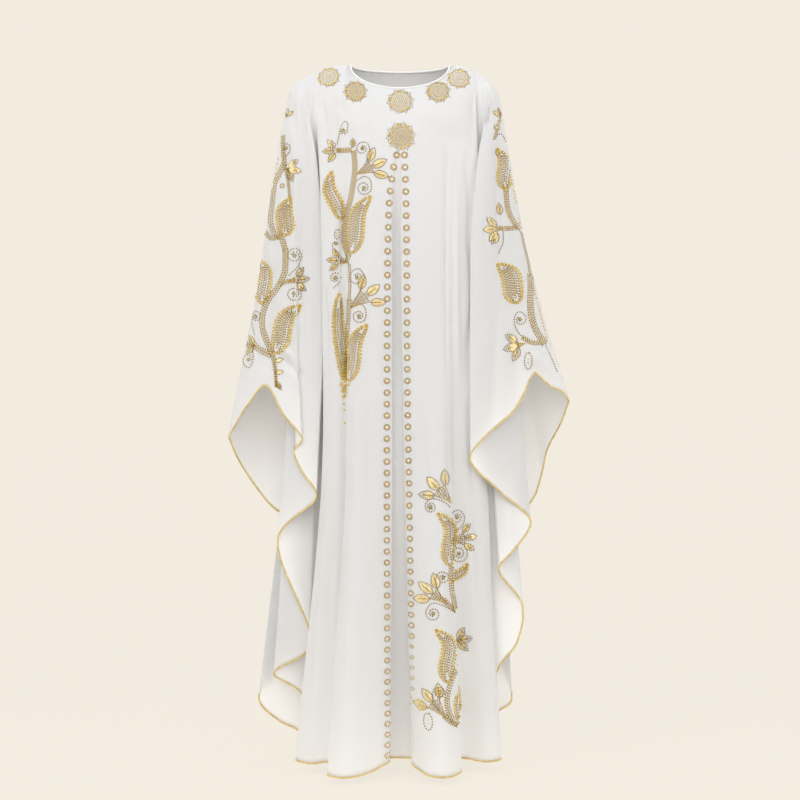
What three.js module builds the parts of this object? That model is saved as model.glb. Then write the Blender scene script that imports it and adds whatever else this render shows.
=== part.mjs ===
// A floor-length batwing kaftan, hanging as it is worn.
// Millimetres, +Z up, +X to the viewer's right, front facing -Y.
// The origin is the middle of the shoulders, at the height of the neck points.
import * as THREE from 'three';

// ---------- Driving dimensions ----------

const WALL = 1.5;                  // cloth with its turnings
const SEAM_GAP = 0.3;              // between two pieces that are sewn together
const HEM = -1450;                 // lowest point of the hem below the neck points

const SHARPEST = 0.45;              // a sharper fold than this share gets a thinner crease

const NECK = { halfWidth: 106, frontDrop: 58, frontReach: 85, backDrop: 5, backReach: 76 };
const NECK_SLOPE = 0.9;            // radians from level, where the cloth leaves the neckline at centre front
const SHOULDER = { left: { x: -225, z: -46 }, right: { x: 198, z: -50 }, fall: 2.2 };

const BINDING = { radius: 2.2, sides: 6, steps: 36 };   // rolled edge of the neck
const FACET_SAG = 0.8;             // how far a flat facet of the neckline cuts inside its curve
const EDGING = { thickness: WALL, gap: 0.8, depth: 3.4 };          // gold edging round the hem and the wings
const STEEPEST = 0.4;              // it narrows where the edge is steeper than this sine to the fold lines

// Shares of a fold line's drop at which the tables give its place.
const YOKE = 0.08;
const BUST = 0.22;
const HIP = 0.5;

const COLORS = { cloth: 0xf4f2ee, gold: 0xd6b35a };

// ---------- Fold lines ----------
// One row for each crest or valley, from the left wing to the right wing.
// top: x on the neckline or shoulder. yoke, bust, hip: [x, y]. end: [x, y, z] on the cut edge.

const RIDGE = {
  left: { top: -225, yoke: [-240, 0], bust: [-260, 0], hip: [-289, 0], end: [-357, 0, -771] },
  right: { top: 198, yoke: [212, 0], bust: [228, 0], hip: [260, 0], end: [352, 0, -696] },
};

const SIDE_SEAM = {
  left: { top: -173, bust: [-160, -14], hip: [-148, 20], end: [-172, 56, -1436] },
  right: { top: 158, bust: [166, -14], hip: [160, 24], end: [172, 56, -1437] },
};

const FRONT_YOKE_AT_SEAM = { left: [-176, -75], right: [162, -84] };
const BACK_YOKE_AT_SEAM = { left: [-176, 66], right: [164, 66] };

const FRONT_LEFT_WING = [
  { line: 'below wrist', top: -223, yoke: [-236, -34], bust: [-254, -34], hip: [-281, -36], end: [-314, -52, -704] },
  { line: 'wrist peak', top: -220, yoke: [-229, -60], bust: [-245, -63], hip: [-265, -65], end: [-275, -80, -664] },
  { line: 'wrist slope', top: -216, yoke: [-219, -80], bust: [-229, -87], hip: [-242, -88], end: [-236, -96, -728] },
  { line: 'first lip', top: -211, yoke: [-209, -90], bust: [-212, -98], hip: [-216, -99], end: [-200, -103, -773] },
  { line: 'first curl', top: -207, yoke: [-202, -92], bust: [-200, -97], hip: [-205, -88], end: [-217, -86, -799] },
  { line: 'first fold', top: -203, yoke: [-195, -92], bust: [-182, -97], hip: [-182, -92], end: [-198, -94, -844] },
  { line: 'first valley', top: -198, yoke: [-190, -88], bust: [-169, -94], hip: [-153, -91], end: [-170, -97, -889] },
  { line: 'second crest', top: -193, yoke: [-187, -85], bust: [-187, -74], hip: [-212, -54], end: [-252, -50, -979] },
  { line: 'third valley', top: -188, yoke: [-184, -82], bust: [-177, -63], hip: [-169, -52], end: [-186, -30, -1205] },
  { line: 'fourth crest', top: -183, yoke: [-181, -79], bust: [-182, -52], hip: [-213, -26], end: [-262, -12, -1262] },
  { line: 'fourth fold', top: -178, yoke: [-178, -76], bust: [-172, -42], hip: [-174, -14], end: [-205, 8, -1306] },
];

const FRONT_BODY = [
  { line: 'left side wall', top: -165, yoke: [-172, -84], bust: [-149, -84], hip: [-123, -60], end: [-190, -4, -1439] },
  { line: 'left side crest', top: -152, yoke: [-168, -101], bust: [-161, -111], hip: [-156, -106], end: [-216, -20, -1441] },
  { line: 'left side panel', top: -132, yoke: [-146, -111], bust: [-142, -124], hip: [-146, -123], end: [-184, -45, -1445] },
  { line: 'left side flap', top: -111, yoke: [-124, -117], bust: [-123, -125], hip: [-126, -129], end: [-152, -50, -1441] },
  { line: 'left valley', top: -102, yoke: [-108, -121], bust: [-108, -121], hip: [-109, -125], end: [-126, -86, -1444] },
  { line: 'left panel edge', top: -85, yoke: [-93, -127], bust: [-98, -135], hip: [-103, -149], end: [-145, -172, -1449] },
  { line: 'left panel crest', top: -64, yoke: [-72, -134], bust: [-79, -143], hip: [-84, -161], end: [-110, -200, HEM] },
  { line: 'left panel', top: -42, yoke: [-48, -139], bust: [-57, -147], hip: [-62, -163], end: [-70, -177, -1446] },
  { line: 'left panel slope', top: -23, yoke: [-27, -141], bust: [-34, -145], hip: [-38, -158], end: [-39, -147, -1436] },
  { line: 'left pleat crease', top: -9, yoke: [-11, -142], bust: [-16, -139], hip: [-15, -147], end: [-21, -112, -1428] },
  { line: 'left pleat turn', top: -5, yoke: [-7, -142], bust: [-25, -128], hip: [-36, -138], end: [-54, -84, -1429] },
  { line: 'pleat centre', top: -1, yoke: [-3, -142], bust: [-7, -121], hip: [-6, -134], end: [2, -62, -1430] },
  { line: 'right pleat turn', top: 3, yoke: [1, -142], bust: [11, -128], hip: [26, -138], end: [58, -80, -1432] },
  { line: 'right pleat crease', top: 7, yoke: [5, -142], bust: [2, -139], hip: [7, -147], end: [25, -102, -1434] },
  { line: 'right panel slope', top: 21, yoke: [21, -141], bust: [22, -145], hip: [27, -157], end: [41, -151, -1443] },
  { line: 'right panel', top: 42, yoke: [45, -139], bust: [47, -147], hip: [52, -162], end: [61, -184, -1449] },
  { line: 'right panel crest', top: 66, yoke: [71, -134], bust: [74, -144], hip: [78, -160], end: [92, -196, HEM] },
  { line: 'right panel edge', top: 88, yoke: [94, -126], bust: [96, -136], hip: [98, -149], end: [124, -140, -1447] },
  { line: 'right valley', top: 104, yoke: [111, -120], bust: [108, -122], hip: [106, -126], end: [110, -62, -1443] },
  { line: 'right side flap', top: 117, yoke: [124, -117], bust: [122, -119], hip: [121, -118], end: [131, -16, -1438] },
  { line: 'right side panel', top: 132, yoke: [139, -112], bust: [141, -114], hip: [148, -112], end: [176, -32, -1443] },
  { line: 'right side crest', top: 146, yoke: [155, -103], bust: [165, -99], hip: [174, -86], end: [210, -10, -1441] },
  { line: 'right side wall', top: 152, yoke: [157, -94], bust: [156, -76], hip: [154, -50], end: [188, 12, -1439] },
];

const FRONT_RIGHT_WING = [
  { line: 'fourth fold', top: 162, yoke: [166, -83], bust: [174, -44], hip: [174, -44], end: [206, -10, -1249] },
  { line: 'fourth slope', top: 165, yoke: [170, -84], bust: [180, -52], hip: [192, -46], end: [241, -22, -1201] },
  { line: 'fourth crest', top: 168, yoke: [173, -86], bust: [187, -65], hip: [212, -48], end: [254, -34, -1120] },
  { line: 'third valley', top: 171, yoke: [176, -89], bust: [179, -74], hip: [172, -66], end: [203, -58, -1041] },
  { line: 'third crease', top: 173, yoke: [179, -92], bust: [185, -79], hip: [200, -67], end: [228, -66, -1010] },
  { line: 'second crest', top: 174, yoke: [181, -92], bust: [192, -85], hip: [226, -60], end: [270, -46, -946] },
  { line: 'second fold', top: 178, yoke: [183, -99], bust: [177, -92], hip: [186, -90], end: [206, -90, -883] },
  { line: 'first valley', top: 182, yoke: [182, -107], bust: [159, -119], hip: [143, -132], end: [142, -128, -812] },
  { line: 'first fold', top: 186, yoke: [189, -102], bust: [177, -119], hip: [168, -129], end: [174, -122, -768] },
  { line: 'wrist slope', top: 188, yoke: [195, -91], bust: [200, -98], hip: [209, -102], end: [238, -102, -710] },
  { line: 'wrist peak', top: 192, yoke: [205, -62], bust: [215, -70], hip: [238, -76], end: [277, -85, -638] },
  { line: 'below wrist', top: 195, yoke: [210, -33], bust: [223, -37], hip: [252, -42], end: [308, -62, -665] },
  { line: 'wing tip', top: 197, yoke: [212, -14], bust: [227, -15], hip: [259, -17], end: [338, -30, -678] },
];

const BACK_LEFT_WING = [
  { line: 'tip slope', top: -220, yoke: [-236, 44], bust: [-249, 48], hip: [-273, 54], end: [-341, 36, -815] },
  { line: 'outer panel', top: -213, yoke: [-219, 76], bust: [-225, 82], hip: [-245, 86], end: [-312, 66, -866] },
  { line: 'inner panel', top: -203, yoke: [-200, 88], bust: [-197, 92], hip: [-211, 98], end: [-264, 88, -926] },
  { line: 'first valley', top: -195, yoke: [-191, 84], bust: [-177, 74], hip: [-177, 88], end: [-196, 114, -962] },
  { line: 'second crest', top: -188, yoke: [-187, 78], bust: [-186, 52], hip: [-209, 65], end: [-252, 84, -1052] },
  { line: 'third valley', top: -183, yoke: [-184, 73], bust: [-174, 32], hip: [-180, 50], end: [-206, 78, -1190] },
  { line: 'fourth crest', top: -179, yoke: [-181, 69], bust: [-180, 14], hip: [-219, 28], end: [-297, 45, -1320] },
  { line: 'fourth slope', top: -177, yoke: [-179, 67], bust: [-174, 5], hip: [-203, 30], end: [-256, 53, -1368] },
  { line: 'fourth fold', top: -175, yoke: [-177, 66], bust: [-167, -5], hip: [-178, 30], end: [-212, 60, -1392] },
];

const BACK_BODY = [
  { line: 'left side wall', top: -168, yoke: [-172, 74], bust: [-152, 36], hip: [-140, 64], end: [-186, 96, -1438] },
  { line: 'left side crest', top: -156, yoke: [-162, 90], bust: [-158, 84], hip: [-158, 106], end: [-212, 140, -1441] },
  { line: 'left side panel', top: -138, yoke: [-142, 102], bust: [-139, 108], hip: [-142, 130], end: [-176, 196, -1443] },
  { line: 'left valley', top: -116, yoke: [-120, 108], bust: [-116, 113], hip: [-117, 128], end: [-128, 168, -1441] },
  { line: 'left panel crest', top: -88, yoke: [-92, 114], bust: [-88, 122], hip: [-92, 146], end: [-98, 226, -1448] },
  { line: 'left panel', top: -60, yoke: [-63, 117], bust: [-62, 123], hip: [-63, 138], end: [-58, 190, -1443] },
  { line: 'centre crest', top: -24, yoke: [-26, 119], bust: [-27, 127], hip: [-28, 150], end: [-22, 238, -1449] },
  { line: 'centre valley', top: 14, yoke: [14, 119], bust: [14, 124], hip: [12, 139], end: [24, 196, -1443] },
  { line: 'right panel crest', top: 50, yoke: [51, 118], bust: [52, 125], hip: [54, 149], end: [70, 232, -1448] },
  { line: 'right valley', top: 84, yoke: [87, 114], bust: [88, 118], hip: [90, 132], end: [104, 176, -1441] },
  { line: 'right side panel', top: 114, yoke: [118, 108], bust: [120, 114], hip: [124, 136], end: [150, 204, -1444] },
  { line: 'right side crest', top: 142, yoke: [146, 98], bust: [154, 86], hip: [160, 104], end: [206, 134, -1440] },
  { line: 'right side wall', top: 151, yoke: [156, 82], bust: [156, 38], hip: [150, 66], end: [184, 94, -1438] },
];

const BACK_RIGHT_WING = [
  { line: 'fourth fold', top: 162, yoke: [168, 66], bust: [174, -4], hip: [184, 34], end: [203, 62, -1355] },
  { line: 'fourth crest', top: 166, yoke: [173, 69], bust: [183, 12], hip: [203, 32], end: [235, 48, -1326] },
  { line: 'third valley', top: 171, yoke: [177, 74], bust: [178, 32], hip: [186, 52], end: [198, 76, -1180] },
  { line: 'second crest', top: 176, yoke: [182, 80], bust: [188, 52], hip: [212, 71], end: [244, 88, -1050] },
  { line: 'first valley', top: 181, yoke: [184, 87], bust: [180, 78], hip: [190, 100], end: [214, 118, -950] },
  { line: 'inner panel', top: 186, yoke: [192, 86], bust: [200, 90], hip: [224, 98], end: [278, 84, -910] },
  { line: 'edge curl', top: 189, yoke: [199, 78], bust: [209, 83], hip: [234, 90], end: [300, 76, -850] },
  { line: 'outer panel', top: 192, yoke: [205, 62], bust: [216, 68], hip: [244, 74], end: [310, 62, -800] },
  { line: 'tip slope', top: 195, yoke: [210, 34], bust: [224, 37], hip: [255, 42], end: [338, 34, -742] },
];

/** The front or back sheet's fold lines, complete with ridges and side seams, from left to right. */
function foldLines(side, leftWing, leftYoke, body, rightYoke, rightWing) {
  const ridge = (row) => ({ ...row, line: 'ridge', shift: side * SEAM_GAP / 2 });
  const seam = (row, yoke) => ({
    ...row, line: 'side seam', yoke, seam: true, shift: side * (WALL + SEAM_GAP) / 2,
  });
  return [
    ridge(RIDGE.left), ...leftWing, seam(SIDE_SEAM.left, leftYoke),
    ...body,
    seam(SIDE_SEAM.right, rightYoke), ...rightWing, ridge(RIDGE.right),
  ];
}

const FRONT = -1;
const BACK = 1;
const frontLines = foldLines(FRONT, FRONT_LEFT_WING, FRONT_YOKE_AT_SEAM.left,
  FRONT_BODY, FRONT_YOKE_AT_SEAM.right, FRONT_RIGHT_WING);
const backLines = foldLines(BACK, BACK_LEFT_WING, BACK_YOKE_AT_SEAM.left,
  BACK_BODY, BACK_YOKE_AT_SEAM.right, BACK_RIGHT_WING);

// ---------- Surface ----------

/** The point of the neckline or shoulder line at x, on the front (side -1) or the back (side 1). */
function topPoint(x, side) {
  const across = Math.abs(x) / NECK.halfWidth;
  if (across < 1) {
    const dip = Math.sqrt(1 - across * across);
    const drop = side === FRONT ? NECK.frontDrop : NECK.backDrop;
    const reach = side === FRONT ? NECK.frontReach : NECK.backReach;
    return new THREE.Vector3(x, side * Math.max(reach * dip, SEAM_GAP / 2), -drop * dip);
  }
  const end = x < 0 ? SHOULDER.left : SHOULDER.right;
  const along = (Math.abs(x) - NECK.halfWidth) / (Math.abs(end.x) - NECK.halfWidth);
  return new THREE.Vector3(x, side * SEAM_GAP / 2, end.z * along ** SHOULDER.fall);
}

/** Cubic Hermite value between a and b, with slopes per unit of the knot step. */
function hermite(a, slopeA, b, slopeB, step, f) {
  const f2 = f * f;
  const f3 = f2 * f;
  return (2 * f3 - 3 * f2 + 1) * a + (f3 - 2 * f2 + f) * step * slopeA
    + (3 * f2 - 2 * f3) * b + (f3 - f2) * step * slopeB;
}

/** A slope at the middle of three values that never overshoots them. */
function calmSlope(before, here, after, stepBefore, stepAfter) {
  const left = (here - before) / stepBefore;
  const right = (after - here) / stepAfter;
  return left * right <= 0 ? 0 : (2 * left * right) / (left + right);
}

/** Where fold line `row` is, at the share t of its drop. */
function linePoint(row, t, side) {
  const top = topPoint(row.top, side);
  const shift = row.shift ?? 0;
  const [endX, endY, endZ] = row.end;
  if (t <= YOKE) {
    const start = Math.abs(row.top) < NECK.halfWidth
      ? NECK_SLOPE * (1 - (row.top / NECK.halfWidth) ** 2) : 0;
    const angle = start + (Math.PI / 2 - start) * (t / YOKE);
    const out = (Math.sin(angle) - Math.sin(start)) / (1 - Math.sin(start));
    const down = (Math.cos(start) - Math.cos(angle)) / Math.cos(start);
    const yokeZ = top.z + (endZ - top.z) * YOKE;
    return new THREE.Vector3(
      THREE.MathUtils.lerp(top.x, row.yoke[0], t / YOKE),
      THREE.MathUtils.lerp(top.y, row.yoke[1] + shift, out),
      THREE.MathUtils.lerp(top.z, yokeZ, down),
    );
  }
  const knots = [YOKE, BUST, HIP, 1];
  const i = t <= BUST ? 0 : t <= HIP ? 1 : 2;
  const f = (t - knots[i]) / (knots[i + 1] - knots[i]);
  const step = knots[i + 1] - knots[i];
  const place = (axis) => {
    const v = [row.yoke[axis], row.bust[axis], row.hip[axis], [endX, endY][axis]];
    const bust = row.seam
      ? (v[2] - v[1]) / (HIP - BUST)
      : calmSlope(v[0], v[1], v[2], BUST - YOKE, HIP - BUST);
    const slopes = [
      axis === 0 ? (v[1] - v[0]) / (BUST - YOKE) : 0,
      bust,
      calmSlope(v[1], v[2], v[3], HIP - BUST, 1 - HIP),
      (v[3] - v[2]) / (1 - HIP),
    ];
    return hermite(v[i], slopes[i], v[i + 1], slopes[i + 1], step, f);
  };
  return new THREE.Vector3(place(0), place(1) + shift, top.z + (endZ - top.z) * t);
}

/** A smooth curve through the fold lines at one level, with `steps[i]` stretches between lines i and i + 1. */
function levelCurve(lines, steps, t, side) {
  const knots = lines.map((row) => linePoint(row, t, side));
  const last = knots.length - 1;
  const span = [];
  for (let i = 0; i < last; i++) span.push(Math.sqrt(knots[i].distanceTo(knots[i + 1])));
  const slopes = knots.map((p, i) => {
    const back = i > 0 ? p.clone().sub(knots[i - 1]).divideScalar(span[i - 1]) : null;
    const ahead = i < last ? knots[i + 1].clone().sub(p).divideScalar(span[i]) : null;
    if (!back) return ahead;
    if (!ahead) return back;
    const slope = back.clone().multiplyScalar(span[i]).add(ahead.clone().multiplyScalar(span[i - 1]));
    slope.divideScalar(span[i - 1] + span[i]);
    if (lines[i].seam) slope.y = 0;
    return slope;
  });
  const points = [knots[0]];
  for (let i = 0; i < last; i++) {
    for (let k = 1; k <= steps[i]; k++) {
      const f = k / steps[i];
      const at = (axis) => hermite(knots[i][axis], slopes[i][axis],
        knots[i + 1][axis], slopes[i + 1][axis], span[i], f);
      points.push(t === 0 ? topPoint(at('x'), side) : new THREE.Vector3(at('x'), at('y'), at('z')));
    }
  }
  return points;
}

const LEVELS = [0, 0.018, 0.045, YOKE, 0.15, BUST, 0.36, HIP, 0.66, 0.83, 1];
const WIDE = 34;                   // a stretch of hem wider than this gets a second facet
const VERY_WIDE = 75;              // and wider than this, a third

/** Facets between each two fold lines, from how far apart they are at the cut edge. */
function facetSteps(lines) {
  const steps = [];
  for (let i = 0; i + 1 < lines.length; i++) {
    const [a, b] = [lines[i].end, lines[i + 1].end];
    const width = Math.hypot(a[0] - b[0], a[1] - b[1]);
    steps.push(width > VERY_WIDE ? 3 : width > WIDE ? 2 : 1);
  }
  return steps;
}

/** The grid columns that lie on the side seams. */
function seamColumns(lines) {
  const columns = [];
  facetSteps(lines).reduce((column, facets, i) => {
    if (lines[i + 1].seam) columns.push(column + facets);
    return column + facets;
  }, 0);
  return columns;
}

/** The sheet as rows of points: grid[level][column]. */
function sheetGrid(lines, side) {
  const steps = facetSteps(lines);
  return LEVELS.map((t) => levelCurve(lines, steps, t, side));
}

/** The direction halfway between a point's two neighbours, each counted alike however far it is. */
function bisector(before, here, after) {
  const along = new THREE.Vector3();
  if (before) along.add(here.clone().sub(before).normalize());
  if (after) along.add(after.clone().sub(here).normalize());
  return along.normalize();
}

/**
 * The way to move each grid point by half a wall: towards +Y where the cloth hangs flat, and longer
 * at a sharp fold, so that both sides of it keep their thickness.
 */
function gridNormals(grid, lines) {
  const seams = seamColumns(lines);
  const columns = grid[0].length - 1;
  return grid.map((row, j) => row.map((p, i) => {
    const down = bisector(grid[j - 1]?.[i], p, grid[j + 1]?.[i]);
    const facing = (from, to) => to.clone().sub(from).cross(down).normalize();
    const normal = new THREE.Vector3();
    if (i > 0) normal.add(facing(row[i - 1], p));
    if (i < columns) normal.add(facing(p, row[i + 1]));
    const openness = i === 0 || i === columns || seams.includes(i) ? 1 : normal.length() / 2;
    const sewnTop = j === 0 && Math.abs(p.x) >= NECK.halfWidth;
    if (j === 0 && (i === 0 || i === columns)) {
      normal.set(Math.sign(p.x), 0, 1).multiplyScalar(Math.sign(p.y));             // the shoulder's end
    }
    if (sewnTop || i === 0 || i === columns) normal.y = 0;
    return normal.setLength(1 / Math.max(openness, SHARPEST));
  }));
}

// ---------- Solids ----------

/** A closed mesh from a list of points and a list of triangles. */
function closedMesh(name, points, triangles, color, metalness, roughness) {
  const geometry = new THREE.BufferGeometry();
  geometry.setAttribute('position', new THREE.Float32BufferAttribute(points.flatMap((p) => [p.x, p.y, p.z]), 3));
  geometry.setIndex(triangles.flat());
  geometry.computeVertexNormals();
  const mesh = new THREE.Mesh(geometry, new THREE.MeshStandardMaterial({ color, metalness, roughness }));
  mesh.name = name;
  return mesh;
}

/** The wall on a grid of points: the grid moved half the thickness both ways, closed round the edge. */
function gridWall(name, grid, normals, thickness, color, metalness, roughness) {
  const rows = grid.length;
  const columns = grid[0].length;
  const points = [];
  for (const way of [1, -1]) {
    grid.forEach((row, j) => row.forEach((p, i) => {
      points.push(p.clone().addScaledVector(normals[j][i], way * thickness / 2));
    }));
  }
  const at = (layer, j, i) => layer * rows * columns + j * columns + i;
  const triangles = [];
  const quad = (a, b, c, d) => triangles.push([a, b, c], [a, c, d]);
  for (let j = 0; j + 1 < rows; j++) {
    for (let i = 0; i + 1 < columns; i++) {
      quad(at(0, j, i), at(0, j, i + 1), at(0, j + 1, i + 1), at(0, j + 1, i));
      quad(at(1, j, i), at(1, j + 1, i), at(1, j + 1, i + 1), at(1, j, i + 1));
    }
  }
  for (let i = 0; i + 1 < columns; i++) {
    quad(at(0, 0, i), at(1, 0, i), at(1, 0, i + 1), at(0, 0, i + 1));
    quad(at(0, rows - 1, i), at(0, rows - 1, i + 1), at(1, rows - 1, i + 1), at(1, rows - 1, i));
  }
  for (let j = 0; j + 1 < rows; j++) {
    quad(at(0, j + 1, 0), at(1, j + 1, 0), at(1, j, 0), at(0, j, 0));
    quad(at(0, j, columns - 1), at(1, j, columns - 1), at(1, j + 1, columns - 1), at(0, j + 1, columns - 1));
  }
  return closedMesh(name, points, triangles, color, metalness, roughness);
}

/** A front or back: the sheet's wall. */
function sheet(name, grid, lines) {
  return gridWall(name, grid, gridNormals(grid, lines), WALL, COLORS.cloth, 0, 0.7);
}

/** A cord along the closed `path`, each ring standing on the two directions given for its point. */
function closedCord(name, path, frames, radius, sides, color, metalness) {
  const points = [];
  path.forEach((p, k) => {
    const [outward, sideways] = frames[k];
    for (let s = 0; s < sides; s++) {
      const angle = (2 * Math.PI * (s + 0.5)) / sides;
      points.push(p.clone()
        .addScaledVector(outward, radius * Math.cos(angle))
        .addScaledVector(sideways, radius * Math.sin(angle)));
    }
  });
  const triangles = [];
  for (let k = 0; k < path.length; k++) {
    const here = k * sides;
    const next = ((k + 1) % path.length) * sides;
    for (let s = 0; s < sides; s++) {
      const turn = (s + 1) % sides;
      triangles.push([here + s, next + s, next + turn], [here + s, next + turn, here + turn]);
    }
  }
  return closedMesh(name, points, triangles, color, metalness, 0.7);
}

/** Gold edging that carries the sheet on below its cut edge, from wing tip to wing tip. */
function edging(name, grid, lines) {
  const normals = gridNormals(grid, lines).at(-1);
  const rims = [EDGING.gap, EDGING.gap + EDGING.depth].map((reach) => grid.at(-1).map((p, i, edge) => {
    const down = p.clone().sub(grid.at(-2)[i]).normalize();
    const slants = [edge[i - 1], edge[i + 1]].filter(Boolean)
      .map((neighbour) => neighbour.clone().sub(p).normalize().cross(down).length());
    return p.clone().addScaledVector(down, reach / Math.max(STEEPEST, Math.min(...slants)));
  }));
  return gridWall(name, rims, [normals, normals], EDGING.thickness, COLORS.gold, 0.6, 0.45);
}

/** Rolled self-fabric binding just inside the neck edge, all the way round. */
function neckBinding() {
  const path = [];
  const clear = BINDING.radius + SEAM_GAP + WALL / 2 + FACET_SAG;
  for (let k = 0; k < BINDING.steps; k++) {
    const turn = (2 * Math.PI * k) / BINDING.steps;
    const front = Math.sin(turn) > 0;
    const reach = front ? NECK.frontReach : NECK.backReach;
    const drop = front ? NECK.frontDrop : NECK.backDrop;
    const inward = new THREE.Vector2(Math.cos(turn) / NECK.halfWidth, -Math.sin(turn) / reach).normalize();
    path.push(new THREE.Vector3(
      NECK.halfWidth * Math.cos(turn) - clear * inward.x,
      -reach * Math.sin(turn) - clear * inward.y,
      -drop * Math.abs(Math.sin(turn)),
    ));
  }
  const frames = path.map((p, k) => {
    const along = bisector(path.at(k - 1), p, path[(k + 1) % path.length]);
    const up = new THREE.Vector3(0, 0, 1).addScaledVector(along, -along.z).normalize();
    return [up, up.clone().cross(along)];
  });
  return closedCord('neck_binding', path, frames, BINDING.radius, BINDING.sides, COLORS.cloth, 0);
}

// ---------- The garment ----------

const frontGrid = sheetGrid(frontLines, FRONT);
const backGrid = sheetGrid(backLines, BACK);

const kaftan = new THREE.Group();
kaftan.add(sheet('front', frontGrid, frontLines));
kaftan.add(sheet('back', backGrid, backLines));
kaftan.add(neckBinding());
kaftan.add(edging('edging_front', frontGrid, frontLines));
kaftan.add(edging('edging_back', backGrid, backLines));

export default kaftan;
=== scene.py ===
"""A floor-length batwing kaftan: crepe with its folds, gold edging, and gold and crystal embroidery."""
import math
from collections import namedtuple

import bpy
import numpy as np
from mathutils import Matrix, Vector
from mathutils.bvhtree import BVHTree


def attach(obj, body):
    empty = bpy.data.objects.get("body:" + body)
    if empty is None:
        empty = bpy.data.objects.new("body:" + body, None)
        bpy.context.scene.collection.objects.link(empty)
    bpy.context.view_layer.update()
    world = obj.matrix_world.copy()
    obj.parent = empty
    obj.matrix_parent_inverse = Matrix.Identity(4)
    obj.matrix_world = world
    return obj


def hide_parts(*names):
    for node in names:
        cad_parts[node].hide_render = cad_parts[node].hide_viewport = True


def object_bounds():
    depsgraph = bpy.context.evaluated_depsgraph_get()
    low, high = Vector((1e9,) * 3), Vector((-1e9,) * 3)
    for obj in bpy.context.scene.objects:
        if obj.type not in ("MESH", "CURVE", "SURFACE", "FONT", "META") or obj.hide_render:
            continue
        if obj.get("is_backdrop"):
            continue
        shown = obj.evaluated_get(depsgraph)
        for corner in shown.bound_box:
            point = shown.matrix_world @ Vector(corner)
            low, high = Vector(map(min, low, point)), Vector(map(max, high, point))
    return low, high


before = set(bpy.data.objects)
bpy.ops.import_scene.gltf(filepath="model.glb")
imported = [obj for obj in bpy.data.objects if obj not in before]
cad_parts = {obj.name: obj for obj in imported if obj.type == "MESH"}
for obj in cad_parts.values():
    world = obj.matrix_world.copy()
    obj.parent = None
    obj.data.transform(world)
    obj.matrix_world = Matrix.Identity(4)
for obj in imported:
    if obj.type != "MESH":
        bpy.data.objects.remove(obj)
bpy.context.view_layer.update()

MM = 0.001  # the tables below are in millimetres, like the pattern
FRONT, BACK = -1, 1

# ---------- Sizes ----------

CLOTH = 0.9  # the crepe with its turnings
SEAM_GAP = 0.3  # between the front and the back along the shoulders
SEAM_HALF = 0.6  # and from the side seam to each of them
EDGE_CORD = 1.7  # radius of the gold rolled edge
NECK_ROLL = 2.4  # radius of the rolled neck binding
ROLL_CLEAR, ROLL_RISE = 0.5, 1.0  # how far it is inside the neckline and over it

NECK_HALF_WIDTH = 106
NECK_DROP = {FRONT: 58, BACK: 5}
NECK_REACH = {FRONT: 85, BACK: 76}
NECK_SLOPE = 0.9  # radians from level, where the cloth leaves the neckline at the centre
SHOULDER_END = {"left": (-225, -46), "right": (198, -50)}
SHOULDER_FALL = 2.2

# Shares of a fold line's drop at which the tables give its place.
YOKE, BUST, HIP = 0.08, 0.22, 0.5

# ---------- Fold lines ----------
# One row for each crest or valley, from the left wing to the right wing.
# top: x on the neckline or shoulder. yoke, bust, hip: x, y. end: x, y, z on the cut edge.

FoldLine = namedtuple("FoldLine", "name top yoke bust hip end seam shift", defaults=(False, 0))

LEFT_RIDGE = FoldLine("ridge", -225, (-240, 0), (-260, 0), (-289, 0), (-357, 0, -771))
RIGHT_RIDGE = FoldLine("ridge", 198, (212, 0), (228, 0), (260, 0), (352, 0, -696))
LEFT_SEAM = FoldLine("side seam", -173, None, (-160, -14), (-148, 20), (-172, 56, -1436), True)
RIGHT_SEAM = FoldLine("side seam", 158, None, (166, -14), (160, 24), (172, 56, -1437), True)
YOKE_AT_SEAM = {FRONT: ((-176, -75), (162, -84)), BACK: ((-176, 66), (164, 66))}

FRONT_LEFT_WING = [
    ("below wrist", -223, (-236, -34), (-254, -34), (-281, -36), (-314, -52, -704)),
    ("wrist peak", -220, (-229, -60), (-245, -63), (-265, -65), (-275, -80, -664)),
    ("wrist slope", -216, (-219, -80), (-229, -87), (-242, -88), (-236, -96, -728)),
    ("first lip", -211, (-209, -90), (-212, -98), (-216, -99), (-200, -103, -773)),
    ("first curl", -207, (-202, -92), (-200, -97), (-205, -88), (-217, -86, -799)),
    ("first fold", -203, (-195, -92), (-182, -97), (-182, -92), (-198, -94, -844)),
    ("first valley", -198, (-190, -88), (-169, -94), (-153, -91), (-170, -97, -889)),
    ("second crest", -193, (-187, -85), (-187, -74), (-212, -54), (-252, -50, -979)),
    ("third valley", -188, (-184, -82), (-177, -63), (-169, -52), (-186, -30, -1205)),
    ("fourth crest", -183, (-181, -79), (-182, -52), (-213, -26), (-262, -12, -1262)),
    ("fourth fold", -178, (-178, -76), (-172, -42), (-174, -14), (-205, 8, -1306)),
]

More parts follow.
